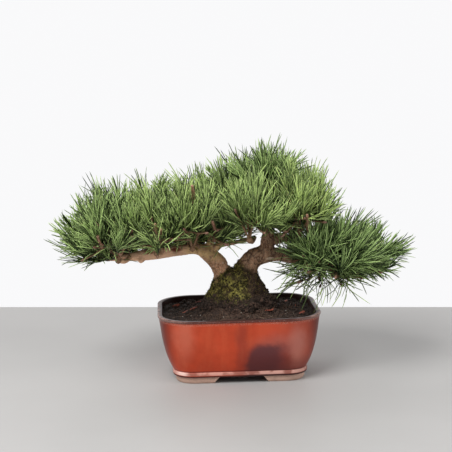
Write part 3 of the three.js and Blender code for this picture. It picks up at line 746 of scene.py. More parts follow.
def wall_glaze(n, look, axes, clouds):
    """Red glaze: purple-brown in one rounded place on each long side, which on the front is a
    painted reflection of something dark and on the back is burnt glaze, dusky to the right of that,
    and streaked. The ends are darker with painted shade, and painted reflections of windows lie
    near the front's corners."""
    x, y, z = axes
    streaks = n.noise(1, 3, 0.5, n.add("Mapping", {0: n.place, "Scale": (70, 70, 9)}).outputs[0])
    wander = n.times(n.math("SUBTRACT", n.noise(45, 4, 0.6), 0.5), 0.016)
    across, up = n.plus(x, wander), n.plus(z, wander)
    front, back = n.share(y, -0.045, -0.065), n.share(y, 0.045, 0.065)
    red = n.layers(
        look.glaze,
        (clouds, 0.35, 0.7, 1, dimmed(look.glaze, 0.78)),
        (streaks, 0.45, 0.75, 0.3, (0.60, 0.13, 0.055)),
        (across, 0.005, 0.11, 0.55, (0.27, 0.07, 0.05)),
        # painted shade: the ends darken where the wall turns away from the light
        (n.away(x), 0.094, 0.120, 0.9, (0.105, 0.014, 0.008)))
    # paints reflections of windows and of something dark onto the front's glaze
    for middle, half, weight, tint in PAINTED_GLAZE_REFLECTIONS:
        red = n.blend(red, tint, n.spot(across, up, middle, half, 2.0, 1.5), front, weight)
    # painted dark reflection on the front, in the burnt glaze's colour, a little lighter towards
    # its top
    burn_and_dark_reflection = n.blend(look.burn_and_dark_reflection, (0.115, 0.038, 0.042), n.share(up, 0.030, 0.060))
    red = n.blend(red, burn_and_dark_reflection, n.spot(across, up, *PAINTED_DARK_REFLECTION), front,
                  n.share(across, 0.088, 0.046), 0.95)
    red = n.blend(red, look.burn_and_dark_reflection, n.spot(across, up, *BURNT_BACK), back, 0.7)
    return n.blend(red, look.burn_and_dark_reflection, n.spot(across, up, *FRONT_DARK_STREAK), front, 0.34)


def glaze_material(look):
    """The wall's red glaze, thin and greyish on the lip, with pale specks on and just below the lip
    that are painted highlights, and the front of the lip's top darkened as painted shade. Inside it
    is dark, partly its own colour and partly painted shade. The foot bead is pink as a painted
    highlight, brightest near its left end, with a dark line of painted shade above and below it."""
    n = nodes_of("red_glaze")
    x, y, z = n.axes()
    inside = n.stored("pot_zone")[0]
    clouds, specks = n.noise(18, 5, 0.6), n.noise(900, 2, 0.5)
    whole = wall_glaze(n, look, (x, y, z), clouds)

    lip = RIM - LIP
    tips = n.share(n.away(x), 0.070, 0.118)
    side = n.blend((0.110, 0.036, 0.027), dimmed(look.rim, 0.6), tips)
    # pale specks on the lip's face are painted highlights
    side = n.layers(side, (specks, 0.58, 0.66, 0.7, (0.40, 0.27, 0.24)))
    # the lip's top is darkened on the front as painted shade, and keeps the thin glaze's colour
    # towards the ends
    top = n.blend((0.062, 0.027, 0.023), look.rim, tips)
    top = n.layers(top, (n.noise(210, 3, 0.6), 0.4, 0.65, 1, (0.062, 0.026, 0.021)))
    whole = n.layers(whole, (z, lip - 0.0012, lip + 0.0004, 1, side),
                     (z, RIM - 0.0014, RIM - 0.0003, 1, top))
    # pale specks just below the lip are painted highlights
    whole = n.blend(whole, (0.60, 0.30, 0.23), n.band(z, lip - 0.0058, lip - 0.002,
                                                      lip - 0.0008, lip + 0.0004),
                    n.share(specks, 0.50, 0.58), 0.6)

    # the pink of the foot bead is a painted highlight, and so is the brighter spot near its left
    # end
    bead = n.blend((0.68, 0.38, 0.31), (0.33, 0.13, 0.10), n.share(n.noise(55, 3, 0.5), 0.42, 0.60))
    bead = n.layers(bead, (n.away(n.plus(x, 0.090)), 0.012, 0.002, 1, (0.90, 0.68, 0.60)))
    whole = n.blend(whole, bead, n.band(z, BASE + 0.0026, BASE + 0.0036, BAND_TOP - 0.0008,
                                        BAND_TOP + 0.0010), 0.85)
    # painted shade: a dark line under the bead and another in the groove above it
    whole = n.layers(whole, (z, BASE + 0.0032, BASE + 0.0022, 0.9, (0.045, 0.022, 0.020)))
    whole = n.blend(whole, (0.12, 0.035, 0.03), n.band(
        z, BAND_TOP - 0.0004, BAND_TOP + 0.0006, BAND_TOP + 0.0012, BAND_TOP + 0.0030), 0.6)
    # dark inside: partly the inner wall's own colour and partly painted shade
    whole = n.blend(whole, (0.045, 0.020, 0.017), inside)
    height = n.plus(n.times(clouds, 0.6), n.times(specks, 0.05))
    roughness = n.plus(0.24, n.times(n.noise(60, 4, 0.6), 0.16))
    return n.finish(whole, roughness, height, 0.0009,
                    Coat_Weight=0.05, Coat_Roughness=0.14, Specular_IOR_Level=0.14)


def clay_material(look):
    """Fired clay with a fine grain and a little iron spotting."""
    n = nodes_of("bare_clay")
    colour = n.layers(look.clay, (n.noise(60, 4, 0.55), 0.35, 0.7, 1, dimmed(look.clay, 0.78)),
                      (n.noise(700, 2, 0.5), 0.62, 0.7, 0.3, (0.26, 0.13, 0.09)))
    return n.finish(colour, 0.82, n.noise(1500, 3, 0.6), 0.0001)


def plastic_material():
    """Black plastic net, slightly dusty."""
    n = nodes_of("black_plastic_net")
    dust = n.noise(240, 4, 0.6)
    colour = n.blend((0.020, 0.020, 0.021), (0.075, 0.062, 0.050), n.share(dust, 0.5, 0.75))
    return n.finish(colour, n.plus(0.45, n.times(dust, 0.2)), dust, 0.0003)


def soil_material(look):
    """Damp dark soil, rooty in front, darkest at both ends with painted shade under the rim, and
    lighter on dried crumbs.
    """
    n = nodes_of("damp_soil")
    x, y, _ = n.axes()
    fine = n.noise(900, 4, 0.7)
    off = n.away(x, 0.006)
    colour = n.layers(
        dimmed(look.colour, 0.55),
        (n.noise(70, 3, 0.6), 0.4, 0.7, 1, dimmed(look.colour, 1.3)),
        (n.noise(260, 3, 0.6), 0.52, 0.60, 1, (0.058, 0.030, 0.019)))
    colour = n.blend(colour, (0.105, 0.055, 0.035), n.share(off, 0.060, 0.020),
                     n.share(y, -0.020, -0.045), n.share(n.noise(520, 3, 0.7), 0.46, 0.56), 0.7)
    # painted shade: the soil darkens towards both ends, under the rim
    colour = n.layers(colour, (off, 0.060, 0.105, 0.6, (0.010, 0.006, 0.005)),
                      (fine, 0.57, 0.66, 1, (0.155, 0.085, 0.055)))
    return n.finish(colour, n.plus(0.72, n.times(fine, 0.25)), fine, 0.0012)


# Scars on the front of the branches: middle and half size in x and z, and colour.
BARK_SCARS = [
    ((-0.136, 0.1940), (0.0070, 0.0030), (0.21, 0.050, 0.028)),
    ((-0.094, 0.1975), (0.0090, 0.0030), (0.21, 0.050, 0.028)),
    ((0.050, 0.1800), (0.0060, 0.0022), (0.85, 0.66, 0.48)),
]


def bare_patches(n):
    """Where the moss is thin and dark: patches about a centimetre across."""
    return n.times(n.share(n.noise(105, 4, 0.65), 0.53, 0.43), 0.75)


def bark_material(look):
    """Bark painted by what is stored on the skin: how mossy it is, how old, and how deep in a
    crack, with lichen, flakes, red knots, scars and splashed soil on top. The left arm is lightened
    as painted light, and the moss turns dark brown to the right, partly brown moss and partly
    painted shade."""
    n = nodes_of("pine_bark")
    moss, old, crack = n.stored("bark_zone")
    x, y, z = n.axes()
    flakes, clouds, blots = n.noise(330, 5, 0.65), n.noise(62, 4, 0.6), n.noise(190, 5, 0.75)
    young_bark = n.layers(
        look.young,
        (clouds, 0.35, 0.7, 1, dimmed(look.young, 0.7)),
        (flakes, 0.52, 0.62, 0.75, (0.68, 0.50, 0.36)),
        (flakes, 0.46, 0.34, 0.8, (0.15, 0.07, 0.045)),
        (blots, 0.50, 0.42, 0.6, (0.17, 0.075, 0.040)),
        # painted light: the left arm is made lighter than the young bark elsewhere
        (x, -0.045, -0.075, 0.85, (0.98, 0.62, 0.40)))
    old_bark = n.layers(
        look.old,
        (clouds, 0.35, 0.7, 1, dimmed(look.old, 0.6)),
        (flakes, 0.53, 0.63, 0.85, (0.58, 0.38, 0.24)),
        (flakes, 0.46, 0.36, 0.75, (0.09, 0.045, 0.03)),
        (blots, 0.54, 0.62, 0.6, (0.50, 0.24, 0.13)))
    colour = n.blend(young_bark, old_bark, old)
    fork = n.share(n.away(n.plus(x, 0.05)), 0.040, 0.020)
    colour = n.blend(colour, (0.86, 0.60, 0.27), n.share(n.noise(130, 4, 0.65), 0.38, 0.52),
                     n.share(z, 0.172, 0.190), fork, 0.75)
    colour = n.blend(colour, (0.055, 0.026, 0.018), crack, 0.8)
    colour = n.layers(colour, (n.noise(1000, 2, 0.5), 0.59, 0.65, 0.55, (0.80, 0.62, 0.45)))
    colour = n.blend(colour, (0.13, 0.032, 0.022), n.share(n.noise(48, 2, 0.5), 0.64, 0.70),
                     n.share(n.away(x), 0.05, 0.07), 0.85)
    for middle, half, tint in BARK_SCARS:
        colour = n.blend(colour, tint, n.spot(x, z, middle, half, 2.0, 0.9),
                         n.share(y, 0.002, -0.002), 0.9)
    green = n.blend(dimmed(look.moss, 0.12), dimmed(look.moss, 2.8),
                    n.share(n.noise(300, 4, 0.75), 0.45, 0.55))
    green = n.blend(green, (0.022, 0.017, 0.008), bare_patches(n))
    # to the right the moss turns dark brown: partly brown moss and partly painted shade on the side
    # away from the light
    brown = n.blend((0.022, 0.014, 0.009), (0.115, 0.062, 0.034),
                    n.share(n.noise(620, 3, 0.7), 0.50, 0.60))
    aside = n.plus(x, n.times(n.math("SUBTRACT", clouds, 0.5), 0.05))
    green = n.blend(green, brown, n.share(aside, 0.006, 0.020))
    colour = n.blend(colour, green, moss)
    splash = n.plus(z, n.times(n.noise(85, 4, 0.7), 0.060))
    colour = n.layers(colour, (splash, 0.162, 0.146, 1, (0.026, 0.017, 0.012)))
    height = n.plus(n.times(flakes, 0.8), n.times(n.noise(1400, 3, 0.6), 0.25))
    return n.finish(colour, 0.86, height, 0.0010, Specular_IOR_Level=0.3)


def moss_material(look):
    """Leaves of moss, lighter at some tufts, brown at others and dark low down."""
    n = nodes_of("moss_leaves")
    colour = n.blend(dimmed(look.moss, 0.12), dimmed(look.moss, 5.2),
                     n.share(n.noise(300, 4, 0.75), 0.45, 0.57))
    colour = n.blend(colour, dimmed(look.moss, 0.25), bare_patches(n))
    colour = n.layers(colour, (n.noise(210, 3, 0.6), 0.54, 0.64, 1, (0.100, 0.052, 0.020)),
                      (n.axes()[2], 0.128, 0.112, 1, (0.030, 0.021, 0.013)))
    return n.finish(colour, 0.8, Specular_IOR_Level=0.25)


def needle_material(look):
    """Needles, from what is stored on each: how far along, its own tint, and its spray's tone.
    They are browner at the sheath, and darker at the foot and lighter along the upper half, which
    is painted shade from deep in the spray."""
    n = nodes_of("pine_needle")
    along, tint, tone = n.stored("needle")
    # how far along a needle is makes it darker at the foot and lighter towards the tip: painted
    # shade
    light = n.plus(n.times(tint, 0.85), n.times(tone, 0.35),
                   n.times(n.share(along, 0.05, 0.6), 0.35))
    green = n.blend((0.36, 0.58, 0.22), look.light, n.share(tone, 0.1, 0.6))
    colour = n.blend(look.dark, green, n.share(light, 0.58, 1.36))
    colour = n.blend(colour, (0.50, 0.58, 0.16), n.share(tone, 0.4, 0.9),
                     n.share(tint, 0.4, 0.9), 0.45)
    colour = n.layers(colour, (along, 0.10, 0.0, 1, (0.12, 0.075, 0.03)))
    colour = n.blend(colour, (0.38, 0.30, 0.14), n.share(along, 0.86, 1.0),
                     n.share(tint, 0.78, 0.9), 0.7)
    return n.finish(colour, 0.5, Specular_IOR_Level=0.3)


# ---------------------------------------------------------------- pot

CORNER_X, CORNER_Y = HALF_LENGTH - CORNER_RADIUS, HALF_WIDTH - CORNER_RADIUS
ARC_STEPS, SIDE_STEPS = 22, 9


def outline_frame():
    """Centre and direction of each point of the rim's outline. A quarter circle turns about
    one centre, and along a straight side the centre moves and the direction stays."""
    corners = np.array([(1, 1), (-1, 1), (-1, -1), (1, -1)]) * (CORNER_X, CORNER_Y)
    centres, angles = [], []
    for corner in range(4):
        following = corners[(corner + 1) % 4]
        along = np.arange(1, SIDE_STEPS)[:, None] / SIDE_STEPS
        straight = mix(corners[corner], following, along)
        centres += [np.tile(corners[corner], (ARC_STEPS, 1)), straight]
        turn = np.linspace(0, np.pi / 2, ARC_STEPS) + corner * np.pi / 2
        angles += [turn, np.full(SIDE_STEPS - 1, turn[-1])]
    return np.concatenate(centres), np.concatenate(angles)


CENTRES, ANGLES = outline_frame()


def outline_rows(insets, heights):
    """One outline for each inset and height: centre plus the corner radius less the inset, in
    the direction of each point."""
    reach = (CORNER_RADIUS - np.asarray(insets, float))[:, None, None]
    ring = np.stack([np.cos(ANGLES), np.sin(ANGLES)], -1)
    flat = CENTRES + reach * ring
    upright = np.broadcast_to(np.asarray(heights, float)[:, None, None], flat.shape[:2] + (1,))
    return np.concatenate([flat, upright], -1)


def wall_inset(z):
    """How far the wall lies inside the rim: a straight lean plus the fourth power of how far
    down it is, which tucks the belly in at its foot."""
    down = (RIM - z) / (RIM - BAND_TOP)
    return WALL_LEAN * down + BELLY_TUCK * down**4


def pot_body():
    """Insets and heights down the outside and up the inside, carried round the outline: bead,
    belly, lip, plain inner wall and rounded floor, from the middle of the underside to the
    middle of the floor."""
    swell = np.linspace(0, np.pi, 13)
    outer = np.linspace(BAND_TOP + 0.0008, RIM - LIP - 0.0006, 26)
    inner = np.linspace(RIM - LIP, FLOOR_TOP + 0.012, 8)
    quarter = np.linspace(0, np.pi / 2, 5)
    sine, rest = LIP_ROUND * np.sin(quarter), LIP_ROUND * (1 - np.cos(quarter))
    profile = [
        (BAND_INSET + BEAD * (1 - np.sin(swell) ** 0.6),
         mix(BASE, BAND_TOP, 0.5 - 0.5 * np.cos(swell))),
        (wall_inset(outer) + LIP_PROUD, outer),
        (LIP_ROUND - sine, RIM - LIP + rest),
        (rest, RIM - LIP_ROUND + sine),
        (WALL - LIP_ROUND + sine, RIM - rest),
        (WALL + wall_inset(inner), inner),
        (WALL + wall_inset(FLOOR_TOP) + FLOOR_ROUND[0] * (1 - np.cos(quarter[1:])),
         FLOOR_TOP + FLOOR_ROUND[1] * (1 - np.sin(quarter[1:]))),
    ]
    rows = outline_rows(*(np.concatenate(part) for part in zip(*profile)))
    return closed_rings(rows, (0, 0, BASE), (0, 0, FLOOR_TOP))


def foot(turn_x, turn_y):
    """One foot: a rounded bar carried round a corner of the outline. Its two ends slope back
    towards the ground, because the ends of each row move out by the flare at that height."""
    section = np.array([
        (0, BASE + FOOT_SINK), (0.0008, 0.004), (0.0022, FOOT_LIFT), (0.0036, 0),
        (FOOT_THICKNESS - 0.0014, 0), (FOOT_THICKNESS, FOOT_LIFT),
        (FOOT_THICKNESS, BASE + FOOT_SINK)])
    height = section[:, 1:]
    flare = GAP_FLARE * (1 - height / BASE)
    radius = CORNER_RADIUS - FOOT_INSET - section[:, :1]
    arc = np.linspace(-np.pi / 2, 0, 20)
    along = np.linspace(0, 1, 7)
    front_x = mix(FOOT_GAPS[0] / 2 + flare, CORNER_X, along[:-1])
    side_y = mix(CORNER_Y, FOOT_GAPS[1] / 2 + flare, along[1:])
    x = np.concatenate([front_x, CORNER_X + radius * np.cos(arc),
                        np.broadcast_to(CORNER_X + radius, side_y.shape)], 1)
    y = np.concatenate([np.broadcast_to(-CORNER_Y - radius, front_x.shape),
                        -CORNER_Y + radius * np.sin(arc), -side_y], 1)
    rings = np.stack([x * turn_x, y * turn_y, np.broadcast_to(height, x.shape)], -1)
    rings = rings.transpose(1, 0, 2)
    points, quads, faces = closed_rings(rings, rings[0].mean(0), rings[-1].mean(0))
    if turn_x * turn_y < 0:
        return points, quads[:, ::-1], faces[:, ::-1]
    return points, quads, faces


def drain_cutter():
    """Two upright round bars where the drain holes go."""
    paths = [[(x, 0, 0), (x, 0, 2 * FLOOR_TOP)] for x in (-DRAIN_SPACING / 2, DRAIN_SPACING / 2)]
    return tubes(paths, DRAIN_RADIUS, 40)


def inner_side(points):
    """1 on the inner side of the wall and on the floor, 0 outside: how far a point lies inside
    the rim's outline, less the wall's inset at its height, against three quarters of the
    wall."""
    inset = CORNER_RADIUS - np.hypot(
        *np.maximum(np.abs(points[:, :2]) - (CORNER_X, CORNER_Y), 0).T)
    high = points[:, 2] > FLOOR_TOP - 0.001
    return (inset - wall_inset(points[:, 2]) > 0.75 * WALL) & high


def make_pot(look):
    """The drilled body, its wall pushed in and out a little by noise, and its four feet."""
    cutter = bpy.data.objects.new("cutter", new_mesh("cutter", *drain_cutter()))
    bpy.context.scene.collection.objects.link(cutter)
    drilled = ("BOOLEAN", {"object": cutter, "operation": "DIFFERENCE", "solver": "EXACT"})
    body = through_modifiers(new_mesh("pot_body", *pot_body()), drilled)
    bpy.data.objects.remove(cutter)
    points, _ = skin_of(body)
    push = look.unevenness * rough(points, 0.045, 3, 2)
    set_points(body, points + push[:, None] * unit(points * (1, 1, 0) + (0, 1e-6, 0)))
    paint(body, "pot_zone", *[inner_side(points)] * 3)
    add_piece(body, glaze_material(look), "pot", crisp=40)
    feet = together(*(foot(x, y) for x in (1, -1) for y in (1, -1)))
    add_piece(new_mesh("pot_feet", *feet), clay_material(look), crisp=35)


def dress_screens():
    """Gives the packed screens a finish, as their form is kept."""
    material = plastic_material()
    for side in ("left", "right"):
        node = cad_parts["drain_screen_" + side]
        node.data.materials.clear()
        node.data.materials.append(material)


# ---------------------------------------------------------------- soil and what lies on it


def soil_top(x, y):
    """Height of the soil: a mound that falls off as a bell curve, a little soil heaped up
    against the root flare, and low waves."""
    mound = SOIL_MOUND * np.exp(-(x * x + y * y) / MOUND_RADIUS**2)
    waves = np.sin(x / 0.009 + 1) * np.cos(y / 0.008) + np.sin((x + y) / 0.013)
    heap = HEAP * np.exp(-(((np.hypot(x, y / BASE_DEPTH) - HEAP_RADIUS) / HEAP_WIDTH) ** 2))
    return SOIL_EDGE + mound + heap + 0.0013 * waves


def soil_height(x, y):
    """The soil's top with its crumb: coarse noise sharpened into clods, and finer noise."""
    flat = np.stack([x, y, np.zeros_like(x)], -1)
    clods = np.abs(rough(flat, 0.011, 11, 3))
    grain = rough(flat, 0.0034, 17, 2)
    return soil_top(x, y) + 0.0030 * clods + 0.0010 * grain - 0.0012


def make_soil_bed(look):
    """A closed bed: outlines up the wall, then the last one scaled in to the middle with the
    soil's height. Four points stand where the outline has one."""
    inset = [WALL + wall_inset(z) + SOIL_GAP for z in (*SOIL_SIDES, SOIL_EDGE)]
    outlines = outline_rows(inset, (*SOIL_SIDES, 0))
    count = outlines.shape[1]
    place = np.arange(count * 4) / 4
    low = place.astype(int)
    outlines = mix(outlines[:, low], outlines[:, (low + 1) % count], (place - low)[None, :, None])
    shares = np.concatenate([np.linspace(1, 0.93, 12)[:-1], np.linspace(0.93, 0.02, 110)])
    top = shares[:, None, None] * outlines[-1]
    top[..., 2] = soil_height(top[..., 0], top[..., 1])
    crown = (0, 0, soil_height(np.zeros(1), np.zeros(1))[0])
    bed = closed_rings(np.concatenate([outlines[:-1], top]), (0, 0, SOIL_SIDES[0]), crown)
    add_piece(new_mesh("soil_bed", *bed), soil_material(look), "soil")


def on_soil(draw, count, clear_of_trunk):
    """Places scattered evenly over the soil: points of a box kept where they lie inside the
    rounded outline and outside the trunk."""
    inset = WALL + wall_inset(SOIL_EDGE)
    half = np.array([HALF_LENGTH - inset, HALF_WIDTH - inset]) * LITTER_REACH
    corner_radius = (CORNER_RADIUS - inset) * LITTER_REACH
    tries = draw.uniform(-1, 1, (count * 4, 2)) * half
    corner = np.maximum(np.abs(tries) - (half - corner_radius), 0)
    kept = (np.hypot(*corner.T) < corner_radius) & (np.hypot(*tries.T) > clear_of_trunk)
    return tries[kept][:count]


def raised(spots, lift):
    """Places on the soil, lifted a little above it."""
    return np.column_stack([spots, soil_height(*spots.T) + lift])


def laid_paths(draw, places, length, bend, rows, lift):
    """Thin things lying on the soil: each path sets out in a random direction, bends steadily,
    and follows the soil's height."""
    count = len(places)
    heading = draw.uniform(0, 2 * np.pi, (count, 1))
    curl = draw.uniform(-bend, bend, (count, 1))
    size = length * draw.uniform(0.6, 1.2, (count, 1))
    share = np.linspace(-0.5, 0.5, rows)[None]
    turn = heading + curl * share
    x = places[:, :1] + size * share * np.cos(turn)
    y = places[:, 1:] + size * share * np.sin(turn)
    tilt = draw.uniform(-0.0025, 0.0025, (count, 1)) * share
    return np.stack([x, y, soil_height(x, y) + lift + tilt], -1)


# Bits of bark that lie on the soil: x, y, length and heading, in metres and degrees.
BARK_BITS = [
    (-0.080, -0.004, 0.017, 39), (-0.069, 0.005, 0.016, 39), (0.045, -0.038, 0.017, -40),
    (0.051, -0.036, 0.009, 20), (0.0957, -0.029, 0.012, -45), (0.098, -0.026, 0.009, 15),
    (0.0907, 0.016, 0.016, -80), (0.079, 0.050, 0.015, 50), (-0.096, 0.036, 0.011, 0),
    (0.024, 0.062, 0.010, 15), (-0.060, 0.062, 0.011, -30),
]
PERLITE = [(-0.056, 0.034), (0.004, 0.005), (0.078, 0.038), (-0.095, 0.045), (0.030, -0.050)]


def bark_bits():
    """Chips: flattened tubes, widest in the middle, that slope a little and are pushed in and
    out by noise."""
    x, y, size, heading = (column[:, None] for column in np.array(BARK_BITS).T)
    share = np.linspace(-0.5, 0.5, 7)[None]
    heading = np.radians(heading)
    route_x = x + size * share * np.cos(heading)
    route_y = y + size * share * np.sin(heading)
    route_z = soil_height(x, y) + 0.0024 + 0.003 * share
    width = 0.0024 * np.sin(np.linspace(0.35, np.pi - 0.35, 7)) ** 0.6
    points, quads, faces = tubes(np.stack([route_x, route_y, route_z], -1), width, 8, flat=0.42)
    return points + 0.0006 * noise(points, 0.0022, 8)[:, None], quads, faces


def make_litter(look):
    """Crumbs, perlite, bark bits, root fibres and fallen needles."""
    draw = np.random.default_rng(41)
    spots = on_soil(draw, look.crumbs, 0.030)
    sizes = look.crumb_size * draw.lognormal(0, 0.45, len(spots))
    crumbs = stones(raised(spots, 0.35 * sizes), sizes, 5, 0.8)
    soil = bpy.data.materials["damp_soil"]
    add_piece(new_mesh("soil_crumbs", *crumbs), soil)

    spots = np.concatenate([PERLITE, on_soil(draw, 46, 0.040)])
    sizes = draw.uniform(0.0004, 0.0011, len(spots))
    grains = new_mesh("perlite_grains", *stones(raised(spots, 0.0014), sizes, 6))
    add_piece(grains, plain_material("perlite"))
    add_piece(new_mesh("bark_bits", *bark_bits()), plain_material("red_bark"), crisp=50)

    spots = on_soil(draw, look.fibres, 0.040) * (0.5, 0.3) - (0, 0.054)
    paths = laid_paths(draw, spots, 0.018, 3.2, 9, 0.0012)
    fibres = tubes(paths, np.linspace(0.00034, 0.00018, 9), 4, pointed=True)
    add_piece(new_mesh("root_fibres", *fibres), plain_material("root_fibre"))
    paths = laid_paths(draw, on_soil(draw, look.fallen, 0.035), 0.036, 0.6, 6, 0.0018)
    fallen = tubes(paths, np.linspace(0.0006, 0.0003, 6), 3, pointed=True)
    add_piece(new_mesh("fallen_needles", *fallen), plain_material("dry_needle"))


# ---------------------------------------------------------------- trunk and branches


def hub_of(name):
    """Where a spray's twigs part: below its middle, or above it where the spray hangs."""
    spray = SPRAYS[name]
    return np.array(spray.middle) - (0, 0, math.copysign(HUB_DROP, spray.dome))


def branch_route(name):
    """From the limb to the spray's knuckle, sagging a little at its middle."""
    spray = SPRAYS[name]
    start = curve_through(LIMBS[spray.limb][:, :3], 101)[round(100 * spray.along)]
    end = hub_of(name)
    sag = 0.08 * np.linalg.norm(end - start) * math.copysign(1, spray.dome)
    bend = (start + end) / 2 - (0, 0, sag)
    return [(*start, 0.0034), (*bend, 0.0029), (*end, 0.0026)]


def trunk_base():
    """Root flare and lower trunk: rings whose half size follows the heights, with ridges that
    fade above the soil, so radius = size * (1 + ridge * bell(height) * cos(5 angle + 1))."""
    size, height = (column[:, None] for column in curve_through(TRUNK_BASE, 30).T)
    angle = np.arange(64) * 2 * np.pi / 64
    bell = np.exp(-(((height - FLARE_HEIGHT) / FLARE_REACH) ** 2))
    radius = size * (1 + RIDGE * bell * np.cos(RIDGES * angle + 1))
    x, y = radius * np.cos(angle), BASE_DEPTH * radius * np.sin(angle)
    rings = np.stack([x, y, np.broadcast_to(height, x.shape)], -1)
    return closed_rings(rings, (0, 0, height[0, 0]), (0, 0, height[-1, 0]))


def limb_tube(route, sides):
    """A tube along a smooth curve through the points and radii of a route."""
    rows = curve_through(route, 8 * len(route))
    return tubes(rows[None, :, :3], rows[:, 3], sides)


def mossiness(points):
    """From 0 to 1: full on the lower trunk up to an edge that is highest between the legs,
    height = 0.171 - 0.030 ((x - 0.004) / 0.046)^2, and thinner in patches."""
    x, z = points[:, 0], points[:, 2]
    edge = np.maximum(0.171 - 0.030 * ((x - 0.004) / 0.046) ** 2, 0.134)
    edge = edge + 0.008 * rough(points, 0.012, 23, 3)
    cover = smooth_step(z, edge + 0.006, edge - 0.006)
    thin = smooth_step(rough(points, 0.009, 29, 2), 0.55, 0.05)
    return cover * mix(0.94, 1.0, thin)


def make_trunk(look):
    """The limbs and the base joined into one skin by a grid remesh and smoothed, then pushed
    out and in: cracks between plates on old wood, fine flakes, one knot, and lumps under the
    moss."""
    parts = [trunk_base()]
    parts += [limb_tube(route, 18) for route in LIMBS.values()]
    parts += [limb_tube(branch_route(name), 12) for name in SPRAYS]
    mesh = through_modifiers(
        new_mesh("trunk_bark", *together(*parts)),
        ("REMESH", {"mode": "VOXEL", "voxel_size": look.cell, "use_smooth_shade": True}),
        ("SMOOTH", {"factor": 0.5, "iterations": 3}))
    points, normals = skin_of(mesh)
    x = points[:, 0]
    thick = smooth_step(np.abs(x), 0.16, 0.03)
    old = smooth_step(x, -0.012, 0.012) * mix(0.35, 1.0, thick)
    moss = mossiness(points)
    warped = points + 0.004 * np.stack([noise(points, 0.012, k) for k in (51, 52, 53)], -1)
    seams = plates(warped * (1, 1, 0.62), 0.0085, 31)
    crack = smooth_step(seams, 0.16, 0.02) * mix(0.15, 1.0, old) * (1 - moss) * thick
    lumps = 0.0011 * rough(points, 0.016, 37, 2) * thick
    flakes = 0.00035 * rough(points, 0.0032, 41, 2) * mix(0.35, 1.0, thick)
    cushion = moss * (0.0012 + 0.0026 * rough(points, 0.0075, 43, 3))
    knot = np.exp(-(np.linalg.norm(points - KNOT, axis=1) / 0.006) ** 2)
    push = 0.0006 + lumps + flakes + cushion - look.crack * crack + 0.0016 * knot
    set_points(mesh, points + push[:, None] * normals)
    paint(mesh, "bark_zone", moss, old, np.maximum(crack, 0.75 * knot))
    add_piece(mesh, bark_material(look), "trunk")


def make_moss(look):
    """Small pointed leaves that stand on the mossy skin and lean about at random, and crumbs
    of soil that rain splashed on the root flare."""
    points, normals = skin_of(bpy.data.objects["trunk_bark"].data)
    draw = np.random.default_rng(73)
    height = points[:, 2] + 0.014 * rough(points, 0.012, 57, 2)
    moss = mossiness(points) * smooth_step(height, 0.114, 0.132)
    moss = moss * mix(0.12, 1.0, smooth_step(points[:, 0], 0.026, 0.006))
    chosen = draw.choice(len(points), look.moss_leaves, p=moss / moss.sum())
    feet, out = points[chosen], normals[chosen]
    lean = unit(out + draw.normal(0, 0.55, out.shape))
    length = 0.0016 * draw.lognormal(0, 0.35, (look.moss_leaves, 1, 1))
    share = np.array([0.0, 0.55, 1.0])[None, :, None]
    droop = np.array([0, 0, -0.25]) * share**2
    paths = feet[:, None] + length * (share * lean[:, None] + droop) - 0.0003 * out[:, None]
    leaves = tubes(paths, (0.00032, 0.00026, 0), 3, flat=0.45, pointed=True)
    add_piece(new_mesh("moss_leaves", *leaves), moss_material(look))

    low = smooth_step(points[:, 2], 0.130, 0.106) * (points[:, 2] > 0.098)
    chosen = draw.choice(len(points), look.splashed, p=low / low.sum())
    sizes = 0.0012 * draw.lognormal(0, 0.4, look.splashed)
    seats = points[chosen] + 0.3 * sizes[:, None] * normals[chosen]
    crumbs = new_mesh("trunk_crumbs", *stones(seats, sizes, 12))
    add_piece(crumbs, bpy.data.materials["damp_soil"])


# ---------------------------------------------------------------- shoots and needles


def sprigs_of(name):
    """Foot and tip of each sprig of a spray, and its share of the pull."""
    rows = np.array(SPRIGS.get(name, [])).reshape(-1, 7)
    return rows[:, :3] / 1000, rows[:, 3:6] / 1000, rows[:, 6]


def shoots_of(name, extra):
    """Foot, bend and tip of each shoot of a spray. The first ones are those of the packed
    model: turned by the golden angle, lying out by a square root, under a dome. The others
    fill in between them, a little lower, and leave the first ones half way up. The spray's
    sprigs come last."""
    spray = SPRAYS[name]
    start = 0.7 * SPRAY_NAMES.index(name)

    def tips(out, turn, sink):
        x, y = out * np.cos(turn), out * np.sin(turn)
        way = unit(np.stack([SHOOT_SPREAD * x + spray.lean[0], SHOOT_SPREAD * y + spray.lean[1],
                             mix(*spray.rise, out**2)], -1))
        seat = np.stack([spray.reach[0] * x, spray.reach[1] * y,
                         spray.dome * (1 - out**2) - sink], -1)
        return seat + spray.middle + LEAFY * way, way

    k, j = np.arange(SHOOTS), np.arange(extra)
    tip, way = tips(np.sqrt((k + 0.35) / SHOOTS), k * GOLDEN + start, 0 * k)
    foot = np.repeat(hub_of(name)[None], SHOOTS, 0)
    foot[3:] = mix(foot[:3], tip[:3], FORK)[[0, 1, 0]]
    between, between_way = tips(0.98 * np.sqrt((j + 0.55) / extra),
                                (j + 0.5) * GOLDEN + start + 1.1,
                                0.004 + 0.009 * ((0.618 * j) % 1))
    near = np.linalg.norm(between[:, None] - tip[None], axis=-1).argmin(1)
    fork = mix(foot[near], tip[near], 0.35)
    sprig_foot, sprig_tip, _ = sprigs_of(name)
    sprig_way = unit(sprig_tip - sprig_foot + (0, 0, 0.012))
    foot, way, tip = (np.concatenate(parts) for parts in (
        (foot, fork, sprig_foot), (way, between_way, sprig_way), (tip, between, sprig_tip)))
    straight = tip - foot
    size = np.linalg.norm(straight, axis=-1, keepdims=True)
    bend = foot + 0.55 * straight - 0.10 * size * (way - straight / size)
    return foot, bend, tip


